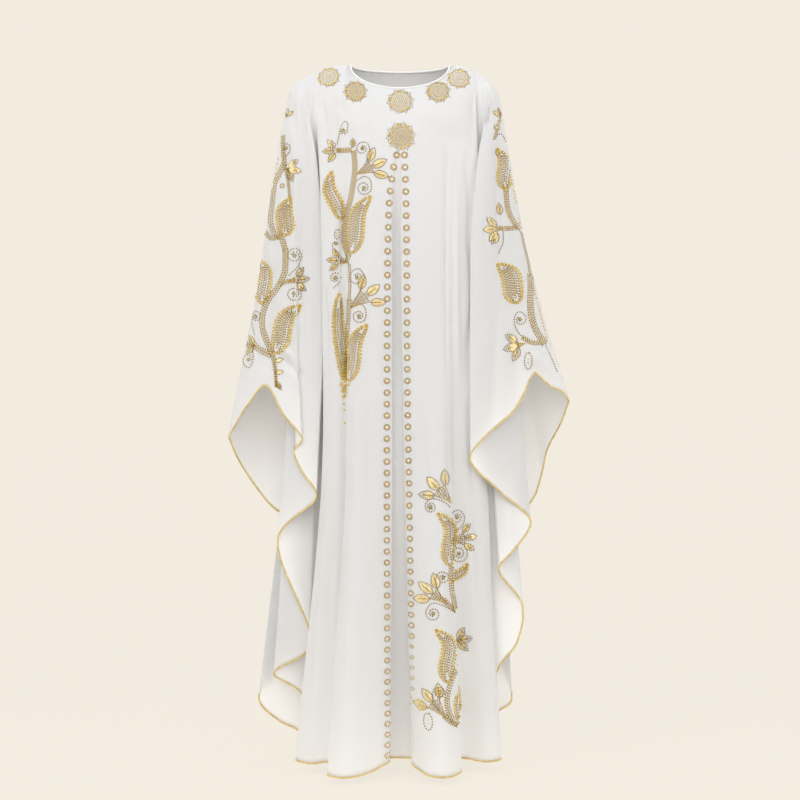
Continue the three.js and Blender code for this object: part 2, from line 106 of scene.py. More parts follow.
FRONT_BODY = [
    ("left side wall", -165, (-172, -84), (-149, -84), (-123, -60), (-190, -4, -1439)),
    ("left side crest", -152, (-168, -101), (-161, -111), (-156, -106), (-216, -20, -1441)),
    ("left side panel", -132, (-146, -111), (-142, -124), (-146, -123), (-184, -45, -1445)),
    ("left side flap", -111, (-124, -117), (-123, -125), (-126, -129), (-152, -50, -1441)),
    ("left valley", -102, (-108, -121), (-108, -121), (-109, -125), (-126, -86, -1444)),
    ("left panel edge", -85, (-93, -127), (-98, -135), (-103, -149), (-145, -172, -1449)),
    ("left panel crest", -64, (-72, -134), (-79, -143), (-84, -161), (-110, -200, -1450)),
    ("left panel", -42, (-48, -139), (-57, -147), (-62, -163), (-70, -177, -1446)),
    ("left panel slope", -23, (-27, -141), (-34, -145), (-38, -158), (-39, -147, -1436)),
    ("left pleat crease", -9, (-11, -142), (-16, -139), (-15, -147), (-21, -112, -1428)),
    ("left pleat turn", -5, (-7, -142), (-25, -128), (-36, -138), (-54, -84, -1429)),
    ("pleat centre", -1, (-3, -142), (-7, -121), (-6, -134), (2, -62, -1430)),
    ("right pleat turn", 3, (1, -142), (11, -128), (26, -138), (58, -80, -1432)),
    ("right pleat crease", 7, (5, -142), (2, -139), (7, -147), (25, -102, -1434)),
    ("right panel slope", 21, (21, -141), (22, -145), (27, -157), (41, -151, -1443)),
    ("right panel", 42, (45, -139), (47, -147), (52, -162), (61, -184, -1449)),
    ("right panel crest", 66, (71, -134), (74, -144), (78, -160), (92, -196, -1450)),
    ("right panel edge", 88, (94, -126), (96, -136), (98, -149), (124, -140, -1447)),
    ("right valley", 104, (111, -120), (108, -122), (106, -126), (110, -62, -1443)),
    ("right side flap", 117, (124, -117), (122, -119), (121, -118), (131, -16, -1438)),
    ("right side panel", 132, (139, -112), (141, -114), (148, -112), (176, -32, -1443)),
    ("right side crest", 146, (155, -103), (165, -99), (174, -86), (210, -10, -1441)),
    ("right side wall", 152, (157, -94), (156, -76), (154, -50), (188, 12, -1439)),
]

FRONT_RIGHT_WING = [
    ("fourth fold", 162, (166, -83), (174, -44), (174, -44), (206, -10, -1249)),
    ("fourth slope", 165, (170, -84), (180, -52), (192, -46), (241, -22, -1201)),
    ("fourth crest", 168, (173, -86), (187, -65), (212, -48), (254, -34, -1120)),
    ("third valley", 171, (176, -89), (179, -74), (172, -66), (203, -58, -1041)),
    ("third crease", 173, (179, -92), (185, -79), (200, -67), (228, -66, -1010)),
    ("second crest", 174, (181, -92), (192, -85), (226, -60), (270, -46, -946)),
    ("second fold", 178, (183, -99), (177, -92), (186, -90), (206, -90, -883)),
    ("first valley", 182, (182, -107), (159, -119), (143, -132), (142, -128, -812)),
    ("first fold", 186, (189, -102), (177, -119), (168, -129), (174, -122, -768)),
    ("wrist slope", 188, (195, -91), (200, -98), (209, -102), (238, -102, -710)),
    ("wrist peak", 192, (205, -62), (215, -70), (238, -76), (277, -85, -638)),
    ("below wrist", 195, (210, -33), (223, -37), (252, -42), (308, -62, -665)),
    ("wing tip", 197, (212, -14), (227, -15), (259, -17), (338, -30, -678)),
]

BACK_LEFT_WING = [
    ("tip slope", -220, (-236, 44), (-249, 48), (-273, 54), (-341, 36, -815)),
    ("outer panel", -213, (-219, 76), (-225, 82), (-245, 86), (-312, 66, -866)),
    ("inner panel", -203, (-200, 88), (-197, 92), (-211, 98), (-264, 88, -926)),
    ("first valley", -195, (-191, 84), (-177, 74), (-177, 88), (-196, 114, -962)),
    ("second crest", -188, (-187, 78), (-186, 52), (-209, 65), (-252, 84, -1052)),
    ("third valley", -183, (-184, 73), (-174, 32), (-180, 50), (-206, 78, -1190)),
    ("fourth crest", -179, (-181, 69), (-180, 14), (-219, 28), (-297, 45, -1320)),
    ("fourth slope", -177, (-179, 67), (-174, 5), (-203, 30), (-256, 53, -1368)),
    ("fourth fold", -175, (-177, 66), (-167, -5), (-178, 30), (-212, 60, -1392)),
]

BACK_BODY = [
    ("left side wall", -168, (-172, 74), (-152, 36), (-140, 64), (-186, 96, -1438)),
    ("left side crest", -156, (-162, 90), (-158, 84), (-158, 106), (-212, 140, -1441)),
    ("left side panel", -138, (-142, 102), (-139, 108), (-142, 130), (-176, 196, -1443)),
    ("left valley", -116, (-120, 108), (-116, 113), (-117, 128), (-128, 168, -1441)),
    ("left panel crest", -88, (-92, 114), (-88, 122), (-92, 146), (-98, 226, -1448)),
    ("left panel", -60, (-63, 117), (-62, 123), (-63, 138), (-58, 190, -1443)),
    ("centre crest", -24, (-26, 119), (-27, 127), (-28, 150), (-22, 238, -1449)),
    ("centre valley", 14, (14, 119), (14, 124), (12, 139), (24, 196, -1443)),
    ("right panel crest", 50, (51, 118), (52, 125), (54, 149), (70, 232, -1448)),
    ("right valley", 84, (87, 114), (88, 118), (90, 132), (104, 176, -1441)),
    ("right side panel", 114, (118, 108), (120, 114), (124, 136), (150, 204, -1444)),
    ("right side crest", 142, (146, 98), (154, 86), (160, 104), (206, 134, -1440)),
    ("right side wall", 151, (156, 82), (156, 38), (150, 66), (184, 94, -1438)),
]

BACK_RIGHT_WING = [
    ("fourth fold", 162, (168, 66), (174, -4), (184, 34), (203, 62, -1355)),
    ("fourth crest", 166, (173, 69), (183, 12), (203, 32), (235, 48, -1326)),
    ("third valley", 171, (177, 74), (178, 32), (186, 52), (198, 76, -1180)),
    ("second crest", 176, (182, 80), (188, 52), (212, 71), (244, 88, -1050)),
    ("first valley", 181, (184, 87), (180, 78), (190, 100), (214, 118, -950)),
    ("inner panel", 186, (192, 86), (200, 90), (224, 98), (278, 84, -910)),
    ("edge curl", 189, (199, 78), (209, 83), (234, 90), (300, 76, -850)),
    ("outer panel", 192, (205, 62), (216, 68), (244, 74), (310, 62, -800)),
    ("tip slope", 195, (210, 34), (224, 37), (255, 42), (338, 34, -742)),
]


def fold_lines(side, left_wing, body, right_wing):
    """The sheet's fold lines, complete with ridges and side seams, from left to right."""
    left_yoke, right_yoke = YOKE_AT_SEAM[side]
    ridge_shift = side * SEAM_GAP / 2
    seam_shift = side * SEAM_HALF
    wings_and_body = ([FoldLine(*row) for row in rows] for rows in (left_wing, body, right_wing))
    left_wing, body, right_wing = wings_and_body
    return [
        LEFT_RIDGE._replace(shift=ridge_shift),
        *left_wing,
        LEFT_SEAM._replace(yoke=left_yoke, shift=seam_shift),
        *body,
        RIGHT_SEAM._replace(yoke=right_yoke, shift=seam_shift),
        *right_wing,
        RIGHT_RIDGE._replace(shift=ridge_shift),
    ]


# ---------- The sheets' surface ----------

PATH_STEPS = 12  # of a smooth line from one given point to the next


def hermite(a, slope_a, b, slope_b, step, f):
    """Cubic value between a and b, with slopes per unit of the knot step."""
    rise = 3 * f**2 - 2 * f**3
    return (1 - rise) * a + rise * b + step * ((f**3 - 2 * f**2 + f) * slope_a + (f**3 - f**2) * slope_b)


def calm_slope(before, here, after, step_before, step_after):
    """A slope at the middle of three values that never overshoots them."""
    left = (here - before) / step_before
    right = (after - here) / step_after
    return 0.0 if left * right <= 0 else 2 * left * right / (left + right)


def smooth_path(points):
    """A smooth line through the given points."""
    points = np.array(points, float)
    slopes = np.gradient(points, axis=0)
    line = [
        hermite(points[i], slopes[i], points[i + 1], slopes[i + 1], 1.0, k / PATH_STEPS)
        for i in range(len(points) - 1)
        for k in range(PATH_STEPS)
    ]
    return np.array(line + [points[-1]])


def top_point(x, side):
    """The point of the neckline or shoulder line at x."""
    if abs(x) < NECK_HALF_WIDTH:
        dip = math.sqrt(1 - (x / NECK_HALF_WIDTH) ** 2)
        return x, side * max(NECK_REACH[side] * dip, SEAM_GAP / 2), -NECK_DROP[side] * dip
    end_x, end_z = SHOULDER_END["left" if x < 0 else "right"]
    along = (abs(x) - NECK_HALF_WIDTH) / (abs(end_x) - NECK_HALF_WIDTH)
    return x, side * SEAM_GAP / 2, end_z * along**SHOULDER_FALL


def line_course(line, drop, side):
    """Where a fold line is at each share of its drop."""
    top = top_point(line.top, side)
    course = np.empty((len(drop), 3))
    course[:, 2] = top[2] + (line.end[2] - top[2]) * drop
    knots = (YOKE, BUST, HIP, 1.0)
    stretch = np.clip(np.searchsorted(knots, drop) - 1, 0, 2)
    for axis in (0, 1):
        v = [line.yoke[axis], line.bust[axis], line.hip[axis], line.end[axis]]
        bust_slope = calm_slope(*v[:3], BUST - YOKE, HIP - BUST)
        if line.seam:
            bust_slope = (v[2] - v[1]) / (HIP - BUST)
        slopes = [
            (v[1] - v[0]) / (BUST - YOKE) if axis == 0 else 0.0,
            bust_slope,
            calm_slope(*v[1:], HIP - BUST, 1 - HIP),
            (v[3] - v[2]) / (1 - HIP),
        ]
        for i in range(3):
            here = stretch == i
            step = knots[i + 1] - knots[i]
            f = (drop[here] - knots[i]) / step
            course[here, axis] = hermite(v[i], slopes[i], v[i + 1], slopes[i + 1], step, f)
    course[:, 1] += line.shift
    yoke = drop <= YOKE
    on_neckline = abs(line.top) < NECK_HALF_WIDTH
    start = NECK_SLOPE * (1 - (line.top / NECK_HALF_WIDTH) ** 2) if on_neckline else 0.0
    f = drop[yoke] / YOKE
    angle = start + (math.pi / 2 - start) * f
    out = (np.sin(angle) - math.sin(start)) / (1 - math.sin(start))
    down = (math.cos(start) - np.cos(angle)) / math.cos(start)
    course[yoke, 0] = top[0] + (line.yoke[0] - top[0]) * f
    course[yoke, 1] = top[1] + (line.yoke[1] + line.shift - top[1]) * out
    course[yoke, 2] = top[2] + (line.end[2] - top[2]) * YOKE * down
    return course


def sheet_grid(lines, drop, side, spacing):
    """Points of the sheet, as grid[level, column], and each fold line's column."""
    knots = np.array([line_course(line, drop, side) for line in lines])
    span = np.sqrt(np.linalg.norm(np.diff(knots, axis=0), axis=2))[:, :, None]
    rate = np.diff(knots, axis=0) / span
    slopes = np.empty_like(knots)
    slopes[0], slopes[-1] = rate[0], rate[-1]
    slopes[1:-1] = (rate[:-1] * span[1:] + rate[1:] * span[:-1]) / (span[:-1] + span[1:])
    for i, line in enumerate(lines):
        if line.seam:
            slopes[i, :, 1] = 0
    columns, line_column = [knots[0]], [0]
    for i in range(len(lines) - 1):
        width = math.hypot(*(np.array(lines[i + 1].end[:2]) - lines[i].end[:2]))
        count = max(3, round(width / spacing))
        for k in range(1, count + 1):
            columns.append(hermite(knots[i], slopes[i], knots[i + 1], slopes[i + 1], span[i], k / count))
        line_column.append(len(columns) - 1)
    grid = np.stack(columns, axis=1)
    grid[0] = [top_point(x, side) for x in grid[0, :, 0]]
    return grid, line_column


# ---------- Creases ----------
# Soft troughs pressed in the cloth, or ridges where the depth is below nought, for each part of a
# sheet: a path of a few points (x, z), a width and a depth.

CREASE_STRENGTH = 1.25
UNCREASED_DROP = 0.03  # share of the drop over which creases fade in from the top

CREASES = {
    (FRONT, "left wing"): [
        ([(-222, -62), (-218, -92), (-214, -130), (-207, -165), (-204, -215)], 7, 6),
        ([(-197, -75), (-192, -150), (-186, -240)], 7, 7),
        ([(-211, -75), (-205, -135), (-197, -225)], 6, -4),
        ([(-206, -250), (-203, -400), (-208, -560)], 8, 5),
        ([(-217, -420), (-223, -560), (-234, -690)], 9, 6),
        ([(-236, -150), (-228, -260), (-222, -380)], 12, 6),
        ([(-268, -375), (-256, -430)], 8, -6),
        ([(-246, -592), (-224, -604), (-203, -628)], 8, -6),
        ([(-250, -612), (-226, -622), (-206, -648)], 8, 6),
        ([(-195, -476), (-192, -560), (-189, -680)], 7, 6),
        ([(-178, -486), (-174, -600), (-172, -690)], 6, 4),
        ([(-262, -470), (-268, -560), (-282, -640)], 10, 6),
    ],
    (FRONT, "body"): [
        ([(-161, -67), (-154, -103), (-145, -142), (-140, -190)], 8, 6),
        ([(-150, -75), (-141, -130), (-134, -200)], 6, -4),
        ([(-140, -62), (-131, -105), (-124, -160), (-121, -230)], 8, 6),
        ([(-122, -85), (-112, -105), (-104, -130)], 9, 5),
        ([(-60, -140), (-85, -160), (-110, -150)], 14, 4),
        ([(-152, -450), (-150, -530), (-148, -625)], 6, 8),
        ([(-118, -250), (-116, -400), (-114, -670)], 7, 8),
        ([(-70, -520), (-66, -800), (-64, -1000)], 14, 4),
        ([(-114, -660), (-111, -900), (-124, -1150), (-140, -1430)], 8, 8),
        ([(-152, -700), (-162, -900), (-174, -1100), (-186, -1400)], 9, 6),
        ([(51, -124), (83, -156), (112, -163), (140, -146)], 15, 6),
        ([(156, -62), (154, -120), (148, -185)], 13, 8),
        ([(136, -190), (139, -260), (141, -335)], 7, 5),
        ([
            (160, -205), (150, -260), (145, -310), (140, -355),
            (147, -410), (150, -497), (140, -592), (138, -665),
        ], 7, 8),
        ([(97, -165), (96, -400), (98, -670)], 7, 8),
        ([(115, -240), (113, -450), (117, -670)], 8, -6),
        ([(60, -560), (56, -800), (60, -1050)], 13, 4),
        ([(98, -640), (104, -820), (110, -1100), (122, -1430)], 8, 7),
        ([(173, -858), (177, -980), (193, -1163), (201, -1234), (195, -1327), (203, -1410)], 8, 6),
        ([(138, -690), (148, -820), (152, -980), (160, -1180)], 8, 7),
    ],
    (FRONT, "right wing"): [
        ([(183, -60), (182, -100), (183, -146)], 8, 6),
        ([(206, -120), (214, -240), (222, -380)], 10, 5),
        ([(196, -180), (200, -330), (206, -470)], 8, 5),
        ([(262, -600), (284, -612), (306, -640)], 8, -5),
        ([(256, -622), (280, -634), (300, -656)], 8, 5),
        ([(232, -540), (238, -640), (246, -740)], 9, 5),
        ([(198, -500), (192, -640), (186, -760)], 8, 5),
    ],
    (BACK, "left wing"): [
        ([(-214, -100), (-210, -200), (-216, -330)], 8, 4),
        ([(-236, -250), (-244, -400), (-256, -560)], 11, 4),
        ([(-190, -300), (-186, -400), (-186, -500)], 7, 4),
        ([(-250, -640), (-228, -660), (-208, -690)], 8, 5),
        ([(-284, -1270), (-278, -1296)], 8, 4),
        ([(-230, -900), (-236, -1050), (-246, -1220)], 10, 5),
    ],
    (BACK, "body"): [
        ([(-130, -80), (-124, -180), (-128, -330)], 10, 5),
        ([(-40, -60), (-34, -160), (-38, -330)], 13, 4),
        ([(30, -60), (36, -200), (32, -300)], 12, 4),
        ([(100, -70), (96, -180), (92, -360)], 10, 5),
        ([(-104, -420), (-106, -560), (-104, -700)], 9, 4),
        ([(128, -300), (126, -520), (130, -760)], 9, 5),
        ([(-90, -860), (-100, -1150), (-112, -1400)], 11, 5),
        ([(40, -800), (48, -1100), (56, -1400)], 12, 5),
        ([(142, -860), (150, -1100), (166, -1390)], 9, 5),
    ],
    (BACK, "right wing"): [
        ([(200, -110), (206, -240), (210, -380)], 8, 4),
        ([(236, -300), (248, -470), (262, -620)], 10, 4),
        ([(250, -600), (230, -622), (214, -650)], 8, 5),
        ([(262, -800), (256, -900), (240, -1010)], 10, 5),
    ],
}


def crease_press(grid, path, width, depth):
    """How far a crease presses each grid point in."""
    place = grid[..., [0, 2]]
    best = np.full(place.shape[:2], np.inf)
    along = np.zeros(place.shape[:2])
    path = smooth_path(path)[::3]
    lengths = np.linalg.norm(np.diff(path, axis=0), axis=1)
    starts = np.concatenate([[0], np.cumsum(lengths)])
    for a, b, length, start in zip(path[:-1], path[1:], lengths, starts):
        f = np.clip(((place - a) @ (b - a)) / length**2, 0, 1)
        gap = np.linalg.norm(place - a - f[..., None] * (b - a), axis=2)
        nearer = gap < best
        best = np.where(nearer, gap, best)
        along = np.where(nearer, (start + f * length) / starts[-1], along)
    ends = np.sin(np.pi * np.clip(along, 0, 1)) ** 0.6
    return CREASE_STRENGTH * depth * ends * np.exp(-((best / width) ** 2))


def grid_normals(grid):
    """Unit normals of a grid of points, towards the back where the cloth hangs flat."""
    along = np.gradient(grid, axis=1)
    down = np.gradient(grid, axis=0)
    normals = np.cross(along, down)
    lengths = np.linalg.norm(normals, axis=2, keepdims=True)
    return normals / np.maximum(lengths, 1e-9)


def draped_grid(side, lines, drop, spacing):
    """The sheet's grid with its creases pressed in, each in the layer of its part that faces out."""
    grid, line_column = sheet_grid(lines, drop, side, spacing)
    normals = grid_normals(grid)
    outward = np.clip(1.6 * normals[..., 1] - 0.3, 0, 1)
    first_seam, second_seam = (c for line, c in zip(lines, line_column) if line.seam)
    parts = {
        "left wing": slice(0, first_seam),
        "body": slice(first_seam, second_seam),
        "right wing": slice(second_seam, grid.shape[1]),
    }
    press = np.zeros(grid.shape[:2])
    for part, columns in parts.items():
        for crease in CREASES[side, part]:
            press[:, columns] += crease_press(grid[:, columns], *crease)
    press *= outward * np.clip(drop / UNCREASED_DROP, 0, 1)[:, None]
    return grid - side * normals * press[..., None]


# ---------- Meshes ----------

def put(name, data):
    """A new object in the scene."""
    thing = bpy.data.objects.new(name, data)
    bpy.context.scene.collection.objects.link(thing)
    return thing


def add_piece(name, vertices, faces, finish):
    """A smooth mesh object of points in millimetres, with its finish."""
    mesh = bpy.data.meshes.new(name)
    mesh.from_pydata(np.asarray(vertices) * MM, [], faces)
    mesh.polygons.foreach_set("use_smooth", [True] * len(mesh.polygons))
    mesh.materials.append(finish)
    return put(name, mesh)


def grid_faces(rows, columns):
    """Quads of a grid of points, facing the front of a front sheet's outside."""
    return [
        (j * columns + i, (j + 1) * columns + i, (j + 1) * columns + i + 1, j * columns + i + 1)
        for j in range(rows - 1)
        for i in range(columns - 1)
    ]


def cloth_sheet(name, grid, side, finish):
    """A sheet of crepe with its thickness."""
    faces = grid_faces(*grid.shape[:2])
    if side == BACK:
        faces = [face[::-1] for face in faces]
    piece = add_piece(name, grid.reshape(-1, 3), faces, finish)
    solid = piece.modifiers.new("thickness", "SOLIDIFY")
    solid.thickness = CLOTH * MM
    solid.offset = 0
    return piece


# ---------- Node trees ----------

class Level:
    """A number that varies over a surface. Sums on it add their Math nodes."""

    def __init__(self, tree, socket):
        self.tree = tree
        self.socket = socket

    def math(self, operation, first, second=0.0):
        node = self.tree.add("ShaderNodeMath", {"operation": operation}, {0: first, 1: second})
        return Level(self.tree, node.outputs[0])

    def __add__(self, other):
        return self.math("ADD", self, other)

    def __radd__(self, other):
        return self.math("ADD", other, self)

    def __rsub__(self, other):
        return self.math("SUBTRACT", other, self)

    def __mul__(self, other):
        return self.math("MULTIPLY", self, other)

    def __truediv__(self, other):
        return self.math("DIVIDE", self, other)

    def wave(self):
        return self.math("SINE", self)


class Tree:
    """A node tree that grows one node at a time."""

    def __init__(self, tree):
        self.tree = tree
        tree.nodes.clear()

    def add(self, kind, settings=None, sockets=None):
        node = self.tree.nodes.new(kind)
        for name, value in (settings or {}).items():
            if name == "stops":
                ramp = node.color_ramp.elements
                while len(ramp) < len(value):
                    ramp.new(1.0)
                for stop, (place, color) in zip(ramp, value):
                    stop.position = place
                    stop.color = (*color, 1.0)
            else:
                setattr(node, name, value)
        for key, value in (sockets or {}).items():
            if isinstance(value, Level):
                value = value.socket
            if isinstance(value, bpy.types.NodeSocket):
                self.tree.links.new(value, node.inputs[key])
            else:
                node.inputs[key].default_value = value
        return node

    def make(self, kind, sockets):
        """The first output of a new node."""
        return self.add(kind, {}, sockets).outputs[0]


class Finish(Tree):
    """A material, with the surface's own shader at its end."""

    def __init__(self, name):
        self.material = bpy.data.materials.new(name)
        self.material.use_nodes = True
        super().__init__(self.material.node_tree)
        self.place = self.add("ShaderNodeTexCoord").outputs["Object"]

    def noise(self, size, detail=2.0, roughness=0.5):
        """Cloudy variation from 0 to 1, with spots of about this size in metres."""
        sockets = {"Vector": self.place, "Scale": 1 / size, "Detail": detail, "Roughness": roughness}
        return Level(self, self.add("ShaderNodeTexNoise", {}, sockets).outputs["Fac"])

    def axes(self):
        node = self.add("ShaderNodeSeparateXYZ", {}, {0: self.place})
        return [Level(self, socket) for socket in node.outputs]

    def carried(self, name):
        """A number that the mesh carries with it."""
        return Level(self, self.add("ShaderNodeAttribute", {"attribute_name": name}).outputs["Fac"])

    def shades(self, level, stops):
        return self.add("ShaderNodeValToRGB", {"stops": stops}, {"Fac": level}).outputs["Color"]

    def bump(self, height, depth, strength=1.0):
        """Normals of a relief this deep in metres."""
        sockets = {"Height": height, "Distance": depth, "Strength": strength}
        return self.make("ShaderNodeBump", sockets)

    def finish(self, sockets):
        shader = self.make("ShaderNodeBsdfPrincipled", sockets)
        self.add("ShaderNodeOutputMaterial", {}, {"Surface": shader})
        return self.material


# ---------- Finishes ----------

WEAVE_WAVES = 4200.0  # radians of the crossed weave in a metre
GOLD_TURN = 0.0016  # metres from one turn of the gold thread to the next


def crepe_finish():
    """Ivory white crepe: a fine pebbled weave, and slight cream clouds."""
    crepe = Finish("ivory crepe")
    x, y, z = crepe.axes()
    clouds = crepe.noise(0.16, 3.0)
    pebbles = crepe.noise(0.0011, 2.0, 0.6)
    crossed = ((x + y) * WEAVE_WAVES).wave() * (z * WEAVE_WAVES).wave()
    tint = clouds * 0.8 + pebbles * 0.2
    color = crepe.shades(tint, [
        (0.3, (0.895, 0.888, 0.876)),
        (0.5, (0.916, 0.913, 0.909)),
        (0.7, (0.926, 0.926, 0.926)),
    ])
    relief = crepe.bump(pebbles + crossed * 0.3, 0.00012, 0.6)
    return crepe.finish({
        "Base Color": color,
        "Roughness": 0.72 + pebbles * 0.14,
        "Normal": relief,
        "Subsurface Weight": 0.55,
        "Subsurface Radius": (1.0, 0.98, 0.94),
        "Subsurface Scale": 0.01,
        "Sheen Weight": 0.12,
        "Sheen Roughness": 0.45,
        "Specular IOR Level": 0.3,
    })


def gold_cord_finish():
    """Rolled edge whipped in gold thread, its turns a little uneven, with painted shade darkening the
    colour between the turns.
    """
    cord = Finish("gold thread edge")
    along = cord.carried("along")
    wear = cord.noise(0.012, 3.0)
    turn_relief_and_shade = (along * 2 * math.pi / GOLD_TURN + wear * 3.0).wave()
    # The turn wave also lightens the colour on each turn and darkens it between turns: painted shade in the
    # grooves.
    color = cord.shades(wear + turn_relief_and_shade * 0.12, [
        (0.25, (0.66, 0.46, 0.12)),
        (0.5, (0.88, 0.66, 0.22)),
        (0.8, (0.97, 0.80, 0.36)),
    ])
    return cord.finish({
        "Base Color": color,
        "Metallic": 0.4,
        "Roughness": 0.34 + wear * 0.2,
        "Normal": cord.bump(turn_relief_and_shade, 0.00025),
    })


def bead_finish(name, dark, light, metallic, roughness, coat=0.0):
    """Glass or metal beads, no two quite the same shade."""
    bead = Finish(name)
    spread = bead.noise(0.004, 1.0)
    film = bead.noise(0.0009, 2.0)
    return bead.finish({
        "Base Color": bead.shades(spread, [(0.35, dark), (0.65, light)]),
        "Metallic": metallic,
        "Roughness": roughness + film * 0.12,
        "Normal": bead.bump(film, 0.00008),
        "Coat Weight": coat,
    })


CREPE = crepe_finish()
GOLD_CORD = gold_cord_finish()
GOLD_BEAD = bead_finish("gold beads", (0.70, 0.50, 0.07), (0.95, 0.75, 0.22), 0.9, 0.28)
BRONZE_BEAD = bead_finish("bronze beads", (0.18, 0.100, 0.003), (0.34, 0.200, 0.010), 0.1, 0.3)
SMOKE_BEAD = bead_finish("smoke beads", (0.34, 0.22, 0.03), (0.56, 0.39, 0.07), 0.3, 0.3)
CRYSTAL = bead_finish("peach crystals", (0.90, 0.68, 0.50), (0.98, 0.87, 0.74), 0.1, 0.08, 0.8)
SATIN = bead_finish("pale gold satin stitch", (0.74, 0.60, 0.29), (0.90, 0.79, 0.50), 0.2, 0.42)
GOLD_THREAD = bead_finish("couched gold thread", (0.80, 0.61, 0.23), (0.93, 0.78, 0.42), 0.3, 0.4)


# ---------- Cloth ----------

FRONT_SPACING = 7.6  # of the sheets' columns along the hem
BACK_SPACING = 8
DROPS = np.concatenate([
    np.linspace(0, YOKE, 25)[:-1],
    np.linspace(YOKE, BUST, 23)[:-1],
    np.linspace(BUST, 1, 100),
])

front_lines = fold_lines(FRONT, FRONT_LEFT_WING, FRONT_BODY, FRONT_RIGHT_WING)
back_lines = fold_lines(BACK, BACK_LEFT_WING, BACK_BODY, BACK_RIGHT_WING)
front_grid = draped_grid(FRONT, front_lines, DROPS, FRONT_SPACING)
back_grid = draped_grid(BACK, back_lines, DROPS, BACK_SPACING)
front_cloth = cloth_sheet("front_cloth", front_grid, FRONT, CREPE)
back_cloth = cloth_sheet("back_cloth", back_grid, BACK, CREPE)


# ---------- Gold edges ----------

def settle(piece):
    """Turn what a piece's node tree makes into its plain mesh."""
    made = piece.evaluated_get(bpy.context.evaluated_depsgraph_get())
    mesh = bpy.data.meshes.new_from_object(made)
    piece.modifiers.clear()
    piece.data = mesh
    return piece


def grow(piece, tree, sizes):
    """Give a piece its node tree with these named sizes, and settle it."""
    modifier = piece.modifiers.new("made", "NODES")
    modifier.node_group = tree
    for item in tree.interface.items_tree:
        if item.item_type == "SOCKET" and item.in_out == "INPUT" and item.name in sizes:
            modifier[item.identifier] = sizes[item.name]
    return settle(piece)


def new_tree(name, inputs):
    """An empty geometry tree with a geometry and these numbers and finishes as its inputs."""
    group = bpy.data.node_groups.new(name, "GeometryNodeTree")
    group.interface.new_socket("Geometry", in_out="INPUT", socket_type="NodeSocketGeometry")
    for label, value in inputs.items():
        kind = "NodeSocketFloat" if isinstance(value, float) else "NodeSocketMaterial"
        socket = group.interface.new_socket(label, in_out="INPUT", socket_type=kind)
        socket.default_value = value
    group.interface.new_socket("Geometry", in_out="OUTPUT", socket_type="NodeSocketGeometry")
    tree = Tree(group)
    return tree, tree.add("NodeGroupInput").outputs


def dressed(tree, shape, finish):
    """A shape made real, with its finish."""
    real = tree.make("GeometryNodeRealizeInstances", {"Geometry": shape})
    return tree.make("GeometryNodeSetMaterial", {"Geometry": real, "Material": finish})


def cord_tree():
    """A cord of the given radius along the piece's line of edges."""
    tree, given = new_tree("rolled edge", {"Cord radius": 0.0017, "Cord finish": GOLD_CORD})
    curve = tree.make("GeometryNodeMeshToCurve", {"Mesh": given["Geometry"]})
    length = tree.add("GeometryNodeSplineParameter").outputs["Length"]
    named = tree.add(
        "GeometryNodeStoreNamedAttribute",
        {"data_type": "FLOAT", "domain": "POINT"},
        {"Geometry": curve, "Name": "along", "Value": length},
    )
    ring = tree.make("GeometryNodeCurvePrimitiveCircle", {"Resolution": 8, "Radius": given["Cord radius"]})
    course = {"Curve": named.outputs[0], "Profile Curve": ring, "Fill Caps": True}
    cord_mesh = tree.make("GeometryNodeCurveToMesh", course)
    tree.add("NodeGroupOutput", {}, {0: dressed(tree, cord_mesh, given["Cord finish"])})
    return tree.tree


CORD_TREE = cord_tree()


def cord(name, course, radius, finish, closed=False):
    """A cord along a course of points in millimetres."""
    count = len(course)
    mesh = bpy.data.meshes.new(name)
    edges = [(i, i + 1) for i in range(count - 1)] + ([(count - 1, 0)] if closed else [])
    mesh.from_pydata(np.asarray(course) * MM, edges, [])
    return grow(put(name, mesh), CORD_TREE, {"Cord radius": radius * MM, "Cord finish": finish})


def neckline(count):
    """The neckline's loop, clear of the cloth."""
    inset = NECK_ROLL + ROLL_CLEAR
    loop = []
    for i in range(count):
        angle = 2 * math.pi * i / count
        side = FRONT if math.sin(angle) < 0 else BACK
        x = (NECK_HALF_WIDTH - inset) * math.cos(angle)
        dip = abs(math.sin(angle))
        loop.append((x, side * (NECK_REACH[side] - inset) * dip, -NECK_DROP[side] * dip + ROLL_RISE))
    return loop


below = np.array([0, 0, EDGE_CORD])
front_edge = cord("front_edge", front_grid[-1] - below, EDGE_CORD, GOLD_CORD)
back_edge = cord("back_edge", back_grid[-1] - below, EDGE_CORD, GOLD_CORD)
neck_roll = cord("neck_roll", neckline(120), NECK_ROLL, CREPE, closed=True)


# ---------- Bead work ----------
# Motifs are laid out flat (x, z), as the wearer's front is seen, and then laid on the cloth.

GOLD, BRONZE, SMOKE, GLASS, PETAL, THREAD = range(6)
DOT = 1.62  # radius of a small bead
DOT_PITCH = 5.2
STEM_GAP = 4.3  # between the rows of a stem
LONG_PETAL = 15  # petals longer than this have inner rows
PETAL_TAPER = 0.22
PETAL_END = 0.8  # share of a petal's half length where it is fitted to the cloth
PETAL_SATIN = 0.47  # share of a petal's length that is half its satin stitch
INNER_ROW = 0.58  # place of a petal's inner rows on the way to its edge
SCALLOP_OUT, SCALLOP_PITCH = 3.0, 7.6
FLAME_REACH = 0.72  # place of a leaf's outer dotted row on the way to its edge
MEDALLION_FIELD = 0.78  # share of a medallion's radius under close beads
MEDALLION_PITCH = 3.9
CURL_CLOSING = 0.62  # share of its reach that a tendril loses as it winds

Stitch = namedtuple("Stitch", "kind place size toward")


def along_angle(degrees):
    return np.array([math.cos(math.radians(degrees)), math.sin(math.radians(degrees))])


